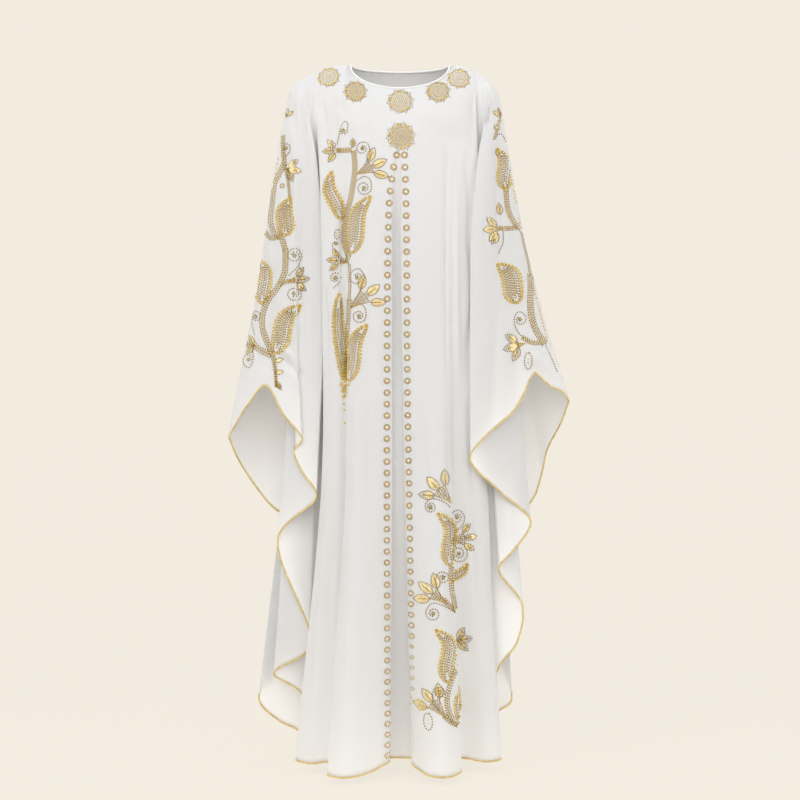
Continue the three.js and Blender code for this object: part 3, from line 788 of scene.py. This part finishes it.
def spaced(line, pitch, start=0.0):
    """Evenly spaced points along a line, the first one a share of the pitch from its beginning."""
    lengths = np.concatenate([[0], np.cumsum(np.linalg.norm(np.diff(line, axis=0), axis=1))])
    count = max(2, round(lengths[-1] / pitch) + 1)
    marks = np.linspace(start * pitch, lengths[-1] - start * pitch, count)
    return np.stack([np.interp(marks, lengths, line[:, axis]) for axis in (0, 1)], axis=1)


def beside(line, offset):
    """The line moved to its left by an offset, which may vary along it."""
    run = np.gradient(line, axis=0)
    run /= np.maximum(np.linalg.norm(run, axis=1, keepdims=True), 1e-9)
    return line + np.stack([-run[:, 1], run[:, 0]], axis=1) * np.reshape(offset, (-1, 1))


class BeadWork:
    """The stitches of one group of motifs."""

    def __init__(self):
        self.stitches = []

    def bead(self, kind, place, size=DOT):
        self.stitches.append(Stitch(kind, np.array(place, float), size, np.array([1.0, 0.0])))

    def row(self, line, kind=BRONZE, size=DOT, pitch=DOT_PITCH, start=0.0):
        for place in spaced(line, pitch, start):
            self.bead(kind, place, size)

    def thread(self, line, size=1.4, pitch=3.7):
        """Gold thread couched along a line, in short stitches."""
        places = spaced(line, pitch)
        for place, run in zip(places, np.gradient(places, axis=0)):
            self.stitches.append(Stitch(THREAD, place, size, run / np.linalg.norm(run)))

    def stem(self, points, rows=3, gap=STEM_GAP, taper=0.0):
        """Rows of beads side by side with thread between, drawing together towards the end by the taper."""
        line = smooth_path(points)
        draw = 1 - taper * np.linspace(0, 1, len(line))
        for k in range(rows):
            offset = (k - (rows - 1) / 2) * gap * draw
            self.row(beside(line, offset), BRONZE, DOT, DOT_PITCH, 0.5 * (k % 2))
            if k:
                self.thread(beside(line, offset - gap / 2 * draw))

    def ring(self, place, radius, count, kind, size):
        for k in range(count):
            self.bead(kind, place + radius * along_angle(360 * k / count + 11), size)

    def curl(self, points, centre, turn_relief_and_shade):
        """A tendril along the points that then winds round its centre; turns below nought are clockwise."""
        points = [np.array(point, float) for point in points]
        centre = np.array(centre, float)
        arm = points[-1] - centre
        reach, start = np.linalg.norm(arm), math.degrees(math.atan2(arm[1], arm[0]))
        steps = max(4, round(abs(turn_relief_and_shade) * 10))
        for k in range(1, steps + 1):
            f = k / steps
            points.append(centre + reach * (1 - CURL_CLOSING * f) * along_angle(start + 360 * turn_relief_and_shade * f))
        self.row(smooth_path(points))
        self.ring(centre, 3.0, 6, BRONZE, DOT * 0.85)
        self.bead(GOLD, centre, DOT * 1.25)

    def loop(self, centre, width, height, tilt):
        """An oval of beads with a bead inside."""
        centre = np.array(centre, float)
        up = along_angle(90 + tilt)
        across = along_angle(tilt)
        oval = [
            centre + across * width / 2 * math.sin(a) + up * height / 2 * math.cos(a)
            for a in np.linspace(0.5, 2 * math.pi + 0.2, 30)
        ]
        self.row(np.array(oval))
        for rise in (-0.12, 0.12):
            self.bead(GOLD, centre + up * height * rise, DOT)

    def petal(self, base, angle, length, plump=0.54):
        """A petal in satin stitch with its outline."""
        base = np.array(base, float)
        toward = along_angle(angle)
        side = along_angle(angle + 90)
        middle = base + toward * length / 2
        self.stitches.append(Stitch(PETAL, middle, length * PETAL_SATIN, toward))
        t = np.linspace(-1, 1, 25)
        for sign in (-1, 1):
            bow = (1 - t**2) ** 0.75 * (1 - PETAL_TAPER * t) * length / 2 * plump * sign
            edge = middle + toward * (t * length / 2)[:, None] + side * bow[:, None]
            self.row(edge, BRONZE, DOT * 0.95, 4.3)
            if length > LONG_PETAL:
                self.row(middle + (edge - middle) * INNER_ROW, BRONZE, DOT * 0.7, 4.4)
        if length > LONG_PETAL:
            self.row(middle + toward * ((t * 0.28 - 0.1) * length)[:, None], SMOKE, DOT * 1.1, 2.4)

    def lotus(self, foot, facing, calyx, petal, spread=43, fan=24):
        """Three petals on a fan of bead rows that narrows to its foot."""
        foot = np.array(foot, float)
        half_turn = math.radians(fan)
        for k, out in enumerate(np.arange(2.0, calyx, 4.2)):
            half = 1.6 + (calyx * half_turn - 1.6) * (out / calyx) ** 1.25
            count = max(1, round(2 * half / 4.6) + k % 2)
            for j in range(count):
                lean = half * (2 * (j + 0.5) / count - 1) / max(out, 4.0)
                place = foot + out * along_angle(facing + math.degrees(lean))
                self.bead(BRONZE if (j + k) % 3 else SMOKE, place)
        for k in (-0.8, -0.27, 0.27, 0.8):
            end = foot + calyx * along_angle(facing + k * fan)
            self.thread(np.array([foot, end]), 1.25, 4.0)
        for k in (-1, 0, 1):
            start = foot + calyx * along_angle(facing + k * fan * 0.95)
            self.petal(start, facing + k * spread * 0.92, petal * (1.2 if k == 0 else 1.12))

    def leaf_line(self, base, tip, width, bend, share, low=0.0, high=1.0):
        """A line up a hooked leaf from its base, at a share of the way from its middle to its edge."""
        base, tip = np.array(base, float), np.array(tip, float)
        length = np.linalg.norm(tip - base)
        toward = (tip - base) / length
        side = np.array([-toward[1], toward[0]])
        s = np.linspace(low, high, 31)
        edge = 1.2 * width * s**0.55 * (1 - s) ** 0.8
        lean = bend * (np.sin(math.pi * s) - 0.55 * np.sin(2 * math.pi * s))
        return base + toward * (s * length)[:, None] + side * (lean + edge * share)[:, None]

    def trail(self, start, step, count, size):
        """Single gold beads in a straight line."""
        for k in range(count):
            self.bead(GOLD, np.array(start) + k * np.array(step), DOT * size)

    def paisley(self, base, tip, width, bend):
        """A hooked leaf: scalloped gold border, and dotted flames inside."""
        rows = max(1, round(width / 7.0) - 1)
        for sign in (-1, 1):
            border = self.leaf_line(base, tip, width, bend, sign)
            self.row(border, GOLD, DOT * 0.95, 3.4)
            outside = beside(border, sign * SCALLOP_OUT)
            for place in spaced(outside, SCALLOP_PITCH)[:-1]:
                self.bead(GOLD, place, DOT * 1.55)
            for place in spaced(outside, SCALLOP_PITCH, 0.5)[:-1]:
                self.bead(BRONZE, place, DOT * 0.8)
            self.row(self.leaf_line(base, tip, width, bend, FLAME_REACH * sign, 0.03, 0.92), BRONZE)
            self.thread(self.leaf_line(base, tip, width, bend, 0.86 * sign, 0.03, 0.94))
        for k in range(rows):
            share = 2 * FLAME_REACH * (k + 1) / (rows + 1) - FLAME_REACH
            low, high = 0.1 + 0.07 * (k % 2), 0.86 - 0.1 * abs(share)
            flame = self.leaf_line(base, tip, width, bend, share, low, high)
            self.row(flame, BRONZE, DOT, DOT_PITCH, 0.5 * (k % 2))
            between = share + FLAME_REACH / (rows + 1)
            beneath = self.leaf_line(base, tip, width, bend, between, 0.14, 0.78)
            self.thread(beneath, 1.25)
        self.ring(tip, 3.4, 5, GOLD, DOT * 1.25)

    def rosette(self, place, size=1.0):
        """A crystal in a ring of beads."""
        place = np.array(place, float)
        self.bead(GLASS, place, 2.7 * size)
        self.ring(place, 3.9 * size, 8, GOLD, 1.25 * size)
        self.ring(place, 5.7 * size, 9, BRONZE, 1.35 * size)

    def medallion(self, place, radius):
        """A round of close beads with a rim of little points."""
        place = np.array(place, float)
        rings = round(radius * MEDALLION_FIELD / MEDALLION_PITCH)
        for k in range(rings + 1):
            kind = (GOLD, SMOKE)[k % 2]
            self.ring(place, radius * MEDALLION_FIELD * k / rings, max(1, 6 * k), kind, DOT)
        for k in range(10):
            angle = 36 * k + 8
            self.bead(BRONZE, place + radius * 1.06 * along_angle(angle), DOT * 0.9)
            for lean in (-7, 7):
                self.bead(BRONZE, place + radius * 0.92 * along_angle(angle + lean), DOT * 0.9)
            self.bead(GOLD, place + radius * 0.88 * along_angle(angle + 18), DOT * (2.0 if k % 3 else 1.4))


def neck_medallions():
    work = BeadWork()
    for place, radius in (
        ((-146, -33), 22), ((-91, -66), 23), ((1, -88), 26),
        ((78, -66), 24), ((121, -37), 22), ((2, -162), 28),
    ):
        work.medallion(place, radius)
    return work


def panel_columns():
    """The two columns of rosettes, on the panels' edges at each side of the middle pleat."""
    work = BeadWork()
    for course, last in (
        ([(-7, -200), (-15, -235), (-21, -285), (-24, -350), (-26, -470), (-27, -900), (-26, -1418)], 1.0),
        ([(9, -200), (12, -285), (14, -420), (15, -640), (19, -890), (22, -1060), (26, -1285)], 0.9),
    ):
        line = smooth_path(course)
        lengths = np.concatenate([[0], np.cumsum(np.linalg.norm(np.diff(line, axis=0), axis=1))])
        mark = 0.0
        while mark < lengths[-1]:
            place = [np.interp(mark, lengths, line[:, axis]) for axis in (0, 1)]
            share = mark / lengths[-1]
            work.rosette(place, 1.06 - 0.12 * share - (0.3 if share > last else 0))
            mark += 24.8 - 3.6 * share
    for k in range(3):
        work.bead(GOLD, (24 - k, -1300 - 13 * k), DOT * (1.6 - 0.3 * k))
    return work


def front_left_vine():
    work = BeadWork()
    work.stem([
        (-94, -190), (-91, -222), (-94, -254), (-100, -288),
        (-109, -322), (-114, -350), (-113, -378), (-104, -404),
    ])
    work.stem([(-126, -188), (-112, -188), (-98, -188)], 3, 4.2)
    work.lotus((-120, -188), 182, 14, 19, 55, 26)
    work.curl([(-128, -174), (-122, -148), (-114, -130), (-106, -134), (-107, -148)], (-115, -148), -0.7)
    work.petal((-95, -182), 92, 17, 0.6)
    work.curl([(-86, -236), (-70, -217), (-61, -196), (-64, -178)], (-76, -186), 1.15)
    work.lotus((-86, -238), 26, 34, 26, 44)
    work.curl([(-88, -252), (-73, -243), (-60, -250), (-58, -268)], (-73, -266), -1.3)
    work.paisley((-121, -326), (-139, -234), 24, 8)
    work.paisley((-99, -396), (-61, -286), 31, 9)
    work.loop((-128, -359), 10, 20, -8)
    work.curl([(-106, -414), (-122, -404), (-134, -388)], (-130, -378), -0.3)
    work.lotus((-108, -416), 172, 20, 17, 50)
    work.stem([(-108, -416), (-104, -404)], 3, 4.1)
    work.curl([(-134, -468), (-124, -457), (-121, -445)], (-132, -448), 1.1)
    work.stem([(-102, -420), (-101, -455), (-102, -494)], 2, 3.8)
    work.curl([(-96, -500), (-81, -476), (-72, -450), (-80, -432)], (-87, -448), 1.15)
    work.lotus((-101, -510), 38, 44, 26, 42)
    work.curl([(-97, -508), (-80, -501), (-69, -514), (-70, -532)], (-83, -526), -1.2)
    work.stem([(-102, -494), (-104, -530), (-108, -590), (-111, -650)], 3, 4.1, 0.4)
    work.paisley((-112, -655), (-124, -482), 22, 4)
    work.paisley((-107, -656), (-68, -546), 30, 8)
    for place in ((-120, -664), (-112, -668), (-104, -664), (-116, -676), (-108, -678), (-114, -688)):
        work.ring(np.array(place, float), 3.0, 4, GOLD, DOT * 1.3)
    for place in ((-115, -704), (-113, -716), (-112, -742)):
        work.bead(GOLD, place, DOT * 1.4)
    return work


def lower_right_vine():
    work = BeadWork()
    work.lotus((106, -905), 134, 40, 28, 43)
    work.curl([(104, -915), (86, -900), (64, -895), (52, -904), (52, -916)], (62, -911), 1.25)
    work.paisley((101, -1028), (78, -926), 26, -12)
    work.curl([(110, -966), (125, -954), (132, -937), (125, -923)], (116, -935), 1.2)
    work.lotus((101, -982), 8, 32, 20, 46)
    work.curl([(108, -990), (125, -989), (137, -1003), (136, -1018)], (120, -1010), -1.3)
    work.paisley((105, -1062), (137, -1034), 13, -3)
    work.stem([(103, -1030), (102, -1052), (104, -1080), (109, -1104), (112, -1122)])
    work.curl([(94, -1104), (78, -1082), (72, -1062), (75, -1047)], (86, -1054), -1.3)
    work.lotus((92, -1104), 143, 34, 28, 42)
    work.stem([(88, -1098), (99, -1110), (112, -1124)], taper=0.4)
    work.curl([(110, -1124), (82, -1107), (64, -1105), (54, -1117)], (67, -1125), 1.3)
    work.paisley((97, -1261), (74, -1159), 29, -13)
    work.lotus((112, -1192), 10, 7, 25, 54)
    work.stem([(113, -1240), (101, -1266), (94, -1294), (96, -1317), (105, -1338), (116, -1351)])
    work.curl([(89, -1331), (74, -1312), (65, -1294), (68, -1277)], (79, -1283), -1.25)
    work.lotus((93, -1333), 131, 42, 26, 36)
    work.stem([(90, -1330), (102, -1343), (115, -1353)], taper=0.4)
    work.paisley((118, -1338), (118, -1290), 11, 2)
    work.loop((57, -1342), 17, 34, 4)
    return work


def left_sleeve_vine():
    work = BeadWork()
    work.lotus((-233, -116), 80, 5, 12, 50)
    work.stem([(-240, -152), (-239, -184), (-236, -214)], 3, 3.7)
    work.curl([(-233, -196), (-225, -186), (-226, -173)], (-233, -179), 0.6)
    work.stem([
        (-238, -212), (-248, -233), (-258, -254), (-262, -290),
        (-266, -321), (-259, -350), (-243, -364), (-234, -388),
    ], 3, 4.6)
    work.stem([(-236, -214), (-229, -248), (-226, -282)], 2, 3.8)
    work.lotus((-236, -222), -12, 9, 21, 56)
    work.rosette((-241, -257), 0.8)
    work.paisley((-236, -357), (-224, -285), 33, 6)
    work.stem([(-276, -350), (-264, -363), (-246, -362)], 3, 3.7)
    work.stem([
        (-234, -388), (-234, -416), (-237, -440), (-252, -467), (-271, -491),
        (-282, -520), (-282, -549), (-272, -579), (-260, -603),
    ], 3, 4.9)
    work.curl([(-226, -441), (-208, -420), (-201, -401), (-208, -388)], (-216, -401), 1.25)
    work.lotus((-230, -452), 6, 20, 21, 46)
    work.stem([(-244, -458), (-233, -454), (-218, -452)], 3, 3.7)
    work.curl([(-216, -452), (-204, -464), (-203, -485)], (-217, -478), -1.2)
    work.paisley((-283, -495), (-287, -408), 30, -6)
    work.curl([(-300, -560), (-306, -534), (-301, -513)], (-297, -524), -1.0)
    work.stem([(-302, -580), (-288, -592), (-264, -604)], 3, 5.3)
    work.lotus((-294, -584), 172, 8, 18, 52)
    work.curl([(-304, -592), (-302, -610), (-309, -628)], (-313, -612), -0.8)
    work.paisley((-256, -598), (-205, -504), 35, 10)
    work.stem([(-260, -603), (-255, -634), (-253, -668)], 3, 3.7, 0.5)
    work.petal((-254, -617), 20, 15, 0.6)
    work.petal((-254, -640), 8, 15, 0.6)
    work.petal((-252, -660), -58, 17, 0.5)
    work.trail((-250, -200), (-1.6, -10), 9, 1.35)
    return work


def right_sleeve_vine():
    work = BeadWork()
    work.lotus((206, -118), 105, 6, 13, 50)
    work.rosette((197, -139), 1.0)
    work.stem([(205, -119), (199, -138), (192, -164)], 2, 3.8)
    work.curl([(195, -157), (205, -150), (214, -158), (221, -178)], (227, -200), 0.0)
    work.curl([(206, -196), (200, -184), (194, -188)], (199, -192), 0.5)
    work.paisley((216, -262), (199, -185), 31, -8)
    work.stem([(216, -258), (219, -297), (227, -321), (238, -337), (247, -343)], 3, 4.4)
    work.trail((229, -244), (1.4, -7.2), 13, 1.5)
    work.petal((204, -317), 97, 23)
    work.stem([(241, -342), (220, -345), (203, -345)], 3, 3.7)
    work.lotus((209, -346), 186, 14, 22, 50)
    work.petal((200, -358), 236, 24)
    work.row(smooth_path([(210, -352), (210, -374), (201, -396)]))
    work.stem([(249, -350), (256, -379), (264, -410), (268, -438)], 2, 3.8)
    work.paisley((241, -494), (199, -420), 42, -9)
    work.stem([(268, -438), (268, -470), (267, -502), (271, -532), (282, -558), (298, -579)], 4, 4.1)
    work.row(smooth_path([(298, -579), (308, -600), (324, -636)]))
    work.trail((277, -470), (1.9, -7.4), 15, 1.45)
    work.stem([(291, -578), (270, -578), (250, -568)], 3, 3.7)
    work.curl([(250, -568), (237, -550), (233, -529), (241, -516)], (245, -531), -0.9)
    work.lotus((256, -580), 196, 16, 26, 50)
    work.loop((262, -616), 16, 34, 0)
    return work


# ---------- Laying the bead work on the cloth ----------

BEAD_SIZES = {"Bead height": 0.8, "Crystal height": 0.75, "Petal width": 0.52}
PROUD = {PETAL: 0.1, THREAD: 0.35}  # how far these stand off the cloth
BEAD_PROUD = 0.45  # and a bead or crystal, as a share of its size
STEEPEST_LAID = 0.2  # cloth that turns further from the front takes no beads
BEAD_FINISHES = {
    GOLD: GOLD_BEAD,
    BRONZE: BRONZE_BEAD,
    SMOKE: SMOKE_BEAD,
    GLASS: CRYSTAL,
    PETAL: SATIN,
    THREAD: GOLD_THREAD,
}


def bead_tree():
    """Beads, crystals and petals set on the piece's points by their kind, facing and size."""
    tree, given = new_tree("bead work", BEAD_SIZES)

    def carried(name, data_type):
        settings = {"data_type": data_type}
        node = tree.add("GeometryNodeInputNamedAttribute", settings, {"Name": name})
        return node.outputs["Attribute"]

    def scaled(shape, *sizes):
        scale = tree.make("ShaderNodeCombineXYZ", dict(enumerate(sizes)))
        return tree.make("GeometryNodeTransform", {"Geometry": shape, "Scale": scale})

    size = carried("size", "FLOAT")
    kind = carried("kind", "INT")
    facing = {"Vector": carried("facing", "FLOAT_VECTOR")}
    upright = tree.add("FunctionNodeAlignRotationToVector", {"axis": "Z"}, facing)
    turned = tree.add(
        "FunctionNodeAlignRotationToVector",
        {"axis": "X", "pivot_axis": "Z"},
        {"Rotation": upright.outputs[0], "Vector": carried("toward", "FLOAT_VECTOR")},
    )

    ball = tree.make("GeometryNodeMeshIcoSphere", {"Radius": 1.0, "Subdivisions": 1})
    bead = scaled(ball, 1.0, 1.0, given["Bead height"])
    facets = {"Vertices": 8, "Radius Top": 0.55, "Radius Bottom": 1.0, "Depth": 1.0}
    crystal = scaled(tree.make("GeometryNodeMeshCone", facets), 1.0, 1.0, given["Crystal height"])
    stitch = scaled(ball, 1.5, 1.05, 0.35)

    flat = {"Size X": 2.0, "Size Y": 2.0, "Vertices X": 9, "Vertices Y": 5}
    sheet = tree.make("GeometryNodeMeshGrid", flat)
    here = tree.add("ShaderNodeSeparateXYZ", {}, {0: tree.make("GeometryNodeInputPosition", {})})
    x, y, _ = (Level(tree, socket) for socket in here.outputs)
    bow = 1 - x * x
    place = tree.make("ShaderNodeCombineXYZ", {
        0: x,
        1: y * bow * (1 - x * PETAL_TAPER) * Level(tree, given["Petal width"]),
        2: bow * (1 - y * y) * 0.06,
    })
    petal = tree.make("GeometryNodeSetPosition", {"Geometry": sheet, "Position": place})

    joined = tree.add("GeometryNodeJoinGeometry")
    shapes = {GOLD: bead, BRONZE: bead, SMOKE: bead, GLASS: crystal, PETAL: petal, THREAD: stitch}
    equal = {"data_type": "INT", "operation": "EQUAL"}
    for which, shape in shapes.items():
        shading = {"Geometry": shape, "Shade Smooth": which != GLASS}
        placed = tree.make("GeometryNodeInstanceOnPoints", {
            "Points": given["Geometry"],
            "Selection": tree.add("FunctionNodeCompare", equal, {2: kind, 3: which}).outputs[0],
            "Instance": tree.make("GeometryNodeSetShadeSmooth", shading),
            "Rotation": turned.outputs[0],
            "Scale": size,
        })
        tree.tree.links.new(dressed(tree, placed, BEAD_FINISHES[which]), joined.inputs[0])
    tree.add("NodeGroupOutput", {}, {0: joined.outputs[0]})
    return tree.tree


BEAD_TREE = bead_tree()
front_surface = BVHTree.FromPolygons(
    [Vector(point) for point in front_grid.reshape(-1, 3)], grid_faces(*front_grid.shape[:2])
)


def on_cloth(place):
    """The point and normal of the front sheet straight behind a flat place, or None beside it."""
    hit, normal, _, _ = front_surface.ray_cast(Vector((place[0], -1000, place[1])), Vector((0, 1, 0)))
    if hit is None or abs(normal.y) < STEEPEST_LAID:
        return None
    return hit, (normal if normal.y < 0 else -normal)


def lay(name, work):
    """Lay a group of motifs on the front cloth as one piece."""
    places, kinds, sizes, facings, towards = [], [], [], [], []
    for stitch in work.stitches:
        found = on_cloth(stitch.place)
        if found is None:
            continue
        hit, normal = found
        size, toward = stitch.size, Vector((stitch.toward[0], 0, stitch.toward[1]))
        proud = CLOTH / 2 + PROUD.get(stitch.kind, BEAD_PROUD * size)
        if stitch.kind == PETAL:
            tips = [stitch.place + share * size * stitch.toward for share in (-PETAL_END, PETAL_END)]
            ends = [on_cloth(tip) for tip in tips]
            if None in ends:
                continue
            toward = ends[1][0] - ends[0][0]
            size = toward.length / (2 * PETAL_END)
            normal = (normal + ends[0][1] + ends[1][1]).normalized()
        places.append((hit + normal * proud) * MM)
        kinds.append(stitch.kind)
        sizes.append(size * MM)
        facings.append(normal)
        towards.append(toward.normalized())
    mesh = bpy.data.meshes.new(name)
    mesh.from_pydata(places, [], [])
    mesh.attributes.new("kind", "INT", "POINT").data.foreach_set("value", kinds)
    mesh.attributes.new("size", "FLOAT", "POINT").data.foreach_set("value", sizes)
    for label, vectors in (("facing", facings), ("toward", towards)):
        mesh.attributes.new(label, "FLOAT_VECTOR", "POINT").data.foreach_set("vector", np.ravel(vectors))
    return grow(put(name, mesh), BEAD_TREE, BEAD_SIZES)


bead_pieces = [
    lay("neck_medallions", neck_medallions()),
    lay("panel_columns", panel_columns()),
    lay("front_left_vine", front_left_vine()),
    lay("lower_right_vine", lower_right_vine()),
    lay("left_sleeve_vine", left_sleeve_vine()),
    lay("right_sleeve_vine", right_sleeve_vine()),
]


# ---------- Camera, stage and light ----------

STUDIO_WHITE = (1.0, 0.998, 1.0)
SWEEP_HALF_WIDTH = 9000
SWEEP_TOP = 6000
BEND_START, BEND_RADIUS, BEND_STEPS = 6500, 900, 12
FLOOR_GAP = 0.012  # metres from the hem down to the floor


def stage_finish():
    """Pale cream studio paper, lit so evenly that it barely takes a shadow."""
    paper = Finish("cream paper")
    grain = paper.noise(0.004, 2.0)
    color = paper.shades(grain, [(0.4, (0.900, 0.842, 0.748)), (0.6, (0.910, 0.852, 0.758))])
    diffuse = paper.add("ShaderNodeBsdfDiffuse", {}, {"Color": color})
    glow = paper.add("ShaderNodeEmission", {}, {"Color": color, "Strength": 0.992})
    mixed = paper.add("ShaderNodeMixShader", {}, {0: 0.9, 1: diffuse.outputs[0], 2: glow.outputs[0]})
    paper.add("ShaderNodeOutputMaterial", {}, {"Surface": mixed.outputs[0]})
    return paper.material


def studio_sweep():
    """Floor and backdrop in one sweep, far enough away to walk round the kaftan."""
    floor = (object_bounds()[0].z - FLOOR_GAP) / MM
    profile = [(-SWEEP_HALF_WIDTH, floor), (BEND_START, floor)]
    for i in range(1, BEND_STEPS + 1):
        angle = math.pi / 2 * i / BEND_STEPS
        along, up = BEND_RADIUS * math.sin(angle), BEND_RADIUS * (1 - math.cos(angle))
        profile.append((BEND_START + along, floor + up))
    profile.append((BEND_START + BEND_RADIUS, SWEEP_TOP))
    vertices = [(x, y, z) for y, z in profile for x in (-SWEEP_HALF_WIDTH, SWEEP_HALF_WIDTH)]
    faces = [(2 * i, 2 * i + 1, 2 * i + 3, 2 * i + 2) for i in range(len(profile) - 1)]
    sweep = add_piece("studio_sweep", vertices, faces, stage_finish())
    sweep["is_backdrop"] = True


def add_light(name, place, target, size, power):
    lamp = bpy.data.lights.new(name, "AREA")
    lamp.size = size
    lamp.energy = power
    lamp.color = STUDIO_WHITE
    light = put(name, lamp)
    light.location = place
    light.rotation_euler = (Vector(target) - Vector(place)).to_track_quat("-Z", "Y").to_euler()


def add_camera():
    lens = bpy.data.cameras.new("camera")
    lens.lens = 108
    lens.sensor_width = 36
    camera = put("camera", lens)
    camera.location = (0, -5, -0.6958)
    camera.rotation_euler = (math.pi / 2, 0, 0)
    bpy.context.scene.camera = camera


def add_world():
    world = bpy.data.worlds.new("studio")
    world.use_nodes = True
    air = Tree(world.node_tree)
    glow = air.add("ShaderNodeBackground", {}, {"Color": (*STUDIO_WHITE, 1), "Strength": 0.845})
    air.add("ShaderNodeOutputWorld", {}, {"Surface": glow.outputs[0]})
    bpy.context.scene.world = world


studio_sweep()
add_camera()
add_world()
bpy.context.scene.view_settings.view_transform = "Standard"
add_light("key", (-1.4, -3.0, 2.1), (0, 0, -0.4), 1.8, 38)
add_light("fill", (2.6, -3.2, 0.4), (0, 0, -0.6), 2.2, 14)
add_light("front", (0.2, -5.2, 0.8), (0, 0, -0.4), 2.4, 46)

# ---------- Pieces on the body, in place of the CAD parts ---

for piece, node, slot in (
    (front_cloth, "front", "cloth"),
    (back_cloth, "back", "cloth"),
    (front_edge, "edging_front", "gold_edging"),
    (back_edge, "edging_back", "gold_edging"),
    (neck_roll, "neck_binding", "cloth"),
):
    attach(piece, "root")
    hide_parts(node)

for piece in bead_pieces:
    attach(piece, "root")
